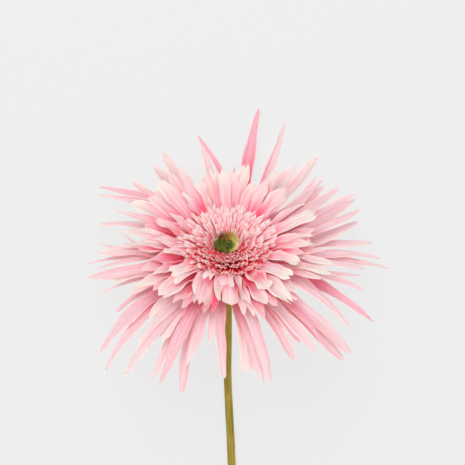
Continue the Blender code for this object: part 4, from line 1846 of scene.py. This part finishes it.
@dataclass
class Involucre(Assembly):
    """The green bracts round the back of the receptacle, in three overlapping rings."""

    head: HeadFrame
    finish: GreenFinish
    whorls: tuple[BractWhorl, ...] = (
        BractWhorl("bract_whorl_inner", 18, 2.9, ((5.0, -18.4), (8.4, -17.2), (10.6, -15.6), (13.4, -14.8))),
        BractWhorl(None, 16, 2.9, ((3.9, -19.2), (7.8, -18.2), (10.4, -16.8), (12.4, -15.9))),
        BractWhorl("bract_whorl_outer", 13, 3.2, ((2.7, -20.2), (7.0, -19.4), (9.4, -18.3), (11.4, -17.2))),
    )
    rows: int = 12
    stagger: float = 0.33  # of a bract's share of the ring, from one ring to the next
    facing: tuple[float, float, float] = (-0.55, 0, 0.83)  # of a bract that points to +X
    seed: int = 23

    def spine(self, whorl: BractWhorl, turn: float, stretch: float) -> Spine:
        """Bends a bract outwards from the receptacle's back.

        Args:
            whorl: the ring that it stands in.
            turn: its angle round the head's axis.
            stretch: its length, as a share of the ring's curve.

        Returns:
            Its spine, in the world.
        """
        spin = self.head.matrix @ Matrix.Rotation(turn, 4, "Z")
        spots = [Vector((radius * MM, 0, height * MM)) for radius, height in whorl.curve]
        foot = spots[0]
        points = tuple(spin @ (foot + (spot - foot) * stretch) for spot in spots)
        return Spine(points, spin.to_3x3() @ Vector(self.facing))

    def build(self) -> None:
        """Builds each ring as a piece."""
        material = self.finish.material()
        chance = random.Random(self.seed)
        for number, whorl in enumerate(self.whorls, 1):
            mesher = BladeMesher()
            mesher.rows = self.rows
            for bract in range(whorl.bracts):
                turn = 2 * math.pi * (bract + self.stagger * number) / whorl.bracts
                turn += chance.uniform(-0.05, 0.05)
                spine = self.spine(whorl, turn, chance.uniform(0.9, 1.12))
                cut = BladeCut(
                    width=whorl.width * MM,
                    foot=0.6,
                    widest=0.3,
                    trough=0.35,
                    droop=0.15,
                    crease=0.1,
                    twist=chance.uniform(-0.2, 0.2),
                    thickness=0.5 * MM,
                )
                mesher.add(spine, cut, Tone())
            mesh = mesher.mesh(f"bracts_{number}")
            mesh.materials.append(material)
            self.place(f"bracts_{number}", mesh, "bract", [whorl.solid] if whorl.solid else ())


# ---- stalk and receptacle ----


@dataclass
class Scape(Assembly):
    """The leafless stalk and the receptacle that it widens into, grown as one."""

    head: HeadFrame
    finish: GreenFinish
    cut_finish: CutFinish
    neck_radius: float = 1.55 * MM
    cut_radius: float = 2.65 * MM
    cut_y: float = -225 * MM
    sides: int = 48
    ribs: int = 9
    rib_depth: float = 0.035  # as a share of the radius
    rib_rise: tuple[int, int] = (-4, 6)  # rings from the profile's end where ribs rise
    rib_turn: float = 0.02  # from ring to ring, radians
    ring_step: float = 1.5 * MM
    # the receptacle and its cone: radius, and height in the head's axes, in mm
    profile: tuple[tuple[float, float], ...] = (
        (0.4, -5.5),
        (5.0, -5.55),
        (7.7, -5.8),
        (8.3, -5.95),
        (8.5, -6.6),
        (8.5, -12.0),
        (8.4, -15.0),
        (7.6, -16.6),
        (5.6, -18.2),
        (3.6, -19.6),
        (2.3, -20.8),
        (1.75, -22.2),
    )
    bed_rings: int = 4  # rings of the profile that the florets stand on
    neck_heights: tuple[float, float] = (-22.6 * MM, -26.5 * MM)  # below the profile
    # x and y from the head, and height over the stalk's own radius, in mm
    course: tuple[tuple[float, float, float], ...] = (
        (0.4, -28, 11.4),
        (0.4, -40, 8.6),
        (0.2, -58, 6.0),
        (1.6, -88, 3.2),
        (3.2, -130, 1.0),
        (4.2, -180, 0.2),
        (4.0, -240, 0.0),
        (2.6, -315, 0.0),
    )
    cut_x: float = 0.4 * MM  # of the cut end's middle, from the head
    cut_share: float = 0.9  # of the stalk's radius, which its cut face has inside a rim
    cut_inset: float = 0.15 * MM  # how far the face lies in behind the rim
    table_gap: float = 0.02 * MM

    def route(self) -> list[tuple[Vector, float]]:
        """The stalk's middle line from the neck to the cut end.

        Returns:
            Points in the world, each with the stalk's radius there.
        """
        centre = self.head.centre
        line = []
        for height in self.neck_heights:
            spot = self.head.matrix @ (UP * height)
            line.append((spot.x, spot.y, spot.z - self.neck_radius))
        for across, ahead, lift in self.course:
            line.append((centre.x + across * MM, centre.y + ahead * MM, lift * MM))
        line.append((centre.x + self.cut_x, self.cut_y, 0.0))
        made = []
        for x, y, lift in line:
            share = (centre.y - y) / (centre.y - self.cut_y)
            radius = self.neck_radius + (self.cut_radius - self.neck_radius) * share
            made.append((Vector((x, y, radius + lift)), radius))
        return made

    def stations(self) -> list[tuple[Vector, Vector, float]]:
        """Rings along the whole piece, from the receptacle's top to the cut end.

        Returns:
            The middle, the way on and the radius of each ring.
        """
        matrix = self.head.matrix
        down = self.head.face * -1
        rings = [(matrix @ (UP * z * MM), down, r * MM) for r, z in self.profile]
        line = self.route()
        spots = [s for s, _ in line]
        spots = [spots[0] * 2 - spots[1]] + spots + [spots[-1] * 2 - spots[-2]]
        for i in range(1, len(line)):
            before, start, end, after = spots[i - 1 : i + 3]
            span = (end - start).length
            pull_start = (end - before) * (span / ((end - start).length + (start - before).length))
            pull_end = (after - start) * (span / ((after - end).length + (end - start).length))
            steps = max(2, round(span / self.ring_step))
            for step in range(0 if i > 1 else 1, steps):
                t = step / steps
                spot, way = self.hermite(start, end, pull_start, pull_end, t)
                radius = line[i - 1][1] + (line[i][1] - line[i - 1][1]) * t
                rings.append((spot, way, radius))
        rings.append((line[-1][0], -AHEAD, line[-1][1]))
        return rings

    @staticmethod
    def hermite(start: Vector, end: Vector, out: Vector, into: Vector, t: float) -> tuple[Vector, Vector]:
        """Reads a curve between two points with given pulls.

        Args:
            start: its first point.
            end: its last point.
            out: the pull at the first point.
            into: the pull at the last point.
            t: share of the curve.

        Returns:
            The point and the direction there.
        """
        t2, t3 = t * t, t * t * t
        spot = start * (2 * t3 - 3 * t2 + 1) + out * (t3 - 2 * t2 + t)
        spot += end * (3 * t2 - 2 * t3) + into * (t3 - t2)
        way = start * (6 * t2 - 6 * t) + out * (3 * t2 - 4 * t + 1) + end * (6 * t - 6 * t2)
        way += into * (3 * t2 - 2 * t)
        return spot, way.normalized()

    def sweep(
        self, shape: bmesh.types.BMesh, rings: Sequence[tuple[Vector, Vector, float]]
    ) -> list[list[bmesh.types.BMVert]]:
        """Lays a ribbed ring of vertices at every station.

        Args:
            shape: the mesh that is being made.
            rings: the middle, the way on and the radius of each ring.

        Returns:
            The rings of vertices.
        """
        rib = shape.verts.layers.float.new("rib")
        side = self.head.turned(RIGHT)
        rows = []
        for number, (middle, way, radius) in enumerate(rings):
            side = (side - way * side.dot(way)).normalized()
            other = way.cross(side)
            row = []
            ribbed = smooth_step(*self.rib_rise, number - len(self.profile))
            for step in range(self.sides):
                angle = 2 * math.pi * step / self.sides
                ridge = 0.5 + 0.5 * math.cos(self.ribs * angle + self.rib_turn * number)
                size = radius * (1 + self.rib_depth * ribbed * (ridge - 1))
                outward = side * math.cos(angle) + other * math.sin(angle)
                vert = shape.verts.new(middle + outward * size)
                vert.co.z = max(vert.co.z, self.table_gap)
                vert[rib] = ridge
                row.append(vert)
            rows.append(row)
        return rows

    def join(
        self,
        shape: bmesh.types.BMesh,
        first: Sequence[bmesh.types.BMVert],
        second: Sequence[bmesh.types.BMVert],
        wears: int,
    ) -> None:
        """Joins two rings of vertices with faces.

        Args:
            shape: the mesh that is being made.
            first: a ring.
            second: the next ring.
            wears: number of the faces' material.
        """
        for i in range(self.sides):
            j = (i + 1) % self.sides
            face = shape.faces.new((first[i], first[j], second[j], second[i]))
            face.material_index = wears

    def build(self, bed: bpy.types.Material) -> None:
        """Sweeps a ribbed ring along the piece, closes it and places it.

        Args:
            bed: what the receptacle's top wears between the florets' feet.
        """
        stalk_wears, cut_wears, bed_wears = range(3)
        rings = self.stations()
        end = rings[-1][0]
        shape = bmesh.new()
        rows = self.sweep(shape, rings)
        for number, (first, second) in enumerate(zip(rows, rows[1:])):
            self.join(shape, first, second, bed_wears if number < self.bed_rings else stalk_wears)
        shape.faces.new(reversed(rows[0])).material_index = bed_wears
        inset = AHEAD * self.cut_inset
        lip = [shape.verts.new(end + (v.co - end) * self.cut_share + inset) for v in rows[-1]]
        self.join(shape, rows[-1], lip, cut_wears)
        shape.faces.new(lip).material_index = cut_wears
        bmesh.ops.recalc_face_normals(shape, faces=shape.faces)
        mesh = bpy.data.meshes.new("scape_skin")
        shape.to_mesh(mesh)
        shape.free()
        mesh.shade_smooth()
        mesh.set_sharp_from_angle(angle=math.radians(50))
        mesh.materials.append(self.finish.material())
        mesh.materials.append(self.cut_finish.material(end, self.cut_radius))
        mesh.materials.append(bed)
        self.place("scape_skin", mesh, "scape", ["scape"])


# ---- studio ----


@dataclass
class Studio:
    """A pale floor, soft lamps and a camera that looks straight down on the head."""

    head: HeadFrame
    floor_colour: Colour = (0.15, 0.15, 0.15, 1.0)
    floor_half: float = 3.0
    floor_glow: float = 0.71
    sky: float = 0.42
    sensor: float = 36.0  # mm, the camera's width
    field_width: float = 193.8 * MM  # what the picture takes in at the head's height
    aim: tuple[float, float] = (2.3 * MM, 4.0 * MM)  # of the picture's middle from the head

    def build(self) -> None:
        """Builds the floor, the lamps and the camera."""
        self.lay_floor()
        self.hang_lamp("key_lamp", Vector((-0.18, 0.62, 1.05)), size=0.9, power=6.3)
        self.hang_lamp("front_lamp", Vector((0.05, -0.16, 1.45)), size=1.1, power=6.9)
        world = bpy.data.worlds.new("studio_sky")
        world.use_nodes = True
        sky = world.node_tree.nodes["Background"]
        sky.inputs["Color"].default_value = (1.0, 1.0, 1.0, 1.0)
        sky.inputs["Strength"].default_value = self.sky
        bpy.context.scene.world = world
        bpy.context.scene.view_settings.view_transform = "Standard"
        bpy.context.scene.cycles.diffuse_bounces = 12
        self.set_camera()

    def lay_floor(self) -> None:
        """Lays the table top, a sheet that glows a little so that shadows stay soft."""
        mesh = bpy.data.meshes.new("table_top")
        h = self.floor_half
        mesh.from_pydata([(-h, -h, 0), (h, -h, 0), (h, h, 0), (-h, h, 0)], [], [(0, 1, 2, 3)])
        floor = bpy.data.objects.new("table_top", mesh)
        bpy.context.scene.collection.objects.link(floor)
        material = bpy.data.materials.new("table_top")
        material.use_nodes = True
        shader = material.node_tree.nodes["Principled BSDF"]
        shader.inputs["Base Color"].default_value = self.floor_colour
        shader.inputs["Roughness"].default_value = 0.9
        shader.inputs["Specular IOR Level"].default_value = 0.1
        shader.inputs["Emission Color"].default_value = (1.0, 1.0, 1.0, 1.0)
        shader.inputs["Emission Strength"].default_value = self.floor_glow
        mesh.materials.append(material)

    def hang_lamp(self, name: str, offset: Vector, size: float, power: float) -> None:
        """Hangs a large soft lamp that points at the head.

        Args:
            name: the lamp's name.
            offset: its place from the head's centre.
            size: side of its square.
            power: in watts.
        """
        data = bpy.data.lights.new(name, "AREA")
        data.energy = power
        data.size = size
        lamp = bpy.data.objects.new(name, data)
        lamp.location = self.head.centre + offset
        lamp.rotation_euler = (-offset).to_track_quat("-Z", "Y").to_euler()
        bpy.context.scene.collection.objects.link(lamp)

    def set_camera(self) -> None:
        """Hangs the camera over the head, with +Y up in its picture."""
        data = bpy.data.cameras.new("camera")
        data.sensor_width = self.sensor
        data.lens = self.sensor * self.head.onlooker / self.field_width
        data.clip_start = 0.01
        camera = bpy.data.objects.new("camera", data)
        camera.location = self.head.centre + Vector((*self.aim, self.head.onlooker))
        bpy.context.scene.collection.objects.link(camera)
        bpy.context.scene.camera = camera


# ---- the flower ----

OUTER_PETAL = PetalFinish("outer_petal")
INNER_PETAL = PetalFinish(
    "inner_petal",
    throat=paint("FA6288"),
    flesh=paint("FBD0D8"),
    tip=paint("F6ECE1"),
    back=paint("F3E3D2"),
    fade=(0.30, 0.72),
    creaming=(0.62, 0.98),
)
FLORET_LIP = PetalFinish(
    "floret_lip",
    throat=paint("FE2E50"),
    flesh=paint("FECCD2"),
    tip=paint("FFF6F4"),
    back=paint("FE7A88"),
    fade=(0.40, 0.86),
    creaming=(0.78, 0.97),
    veins=2.0,
    relief=0.004 * MM,
    depth=0.0,
    down=0.0,
    gloss=0.0,
)
BRACT_SKIN = GreenFinish(
    "bract_skin", deep=paint("4F6322"), light=paint("8A9A48"), grain=(700, 700, 700)
)
STALK_SKIN = GreenFinish("stalk_skin")
STALK_CUT = CutFinish("stalk_cut")
BUD_SKIN = BudFinish("bud")


def main() -> None:
    """Builds the flower piece by piece, then the studio round it."""
    logging.basicConfig(level=logging.INFO, format="%(name)s: %(message)s")
    head = HeadFrame.from_eye(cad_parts["disc_eye"], HEAD_TILT, EYE_TOP)
    LOG.info("head centre %s", [round(c / MM, 2) for c in head.centre])
    Involucre(head, BRACT_SKIN).build()
    OuterRays(head, OUTER_PETAL).build()
    InnerRays(head, INNER_PETAL).build()
    lip = FLORET_LIP.material()
    TransFlorets(head, lip).build()
    Scape(head, STALK_SKIN, STALK_CUT).build(lip)
    DiscBuds(head, BUD_SKIN).build()
    Studio(head).build()


if __name__ == "__main__":
    main()
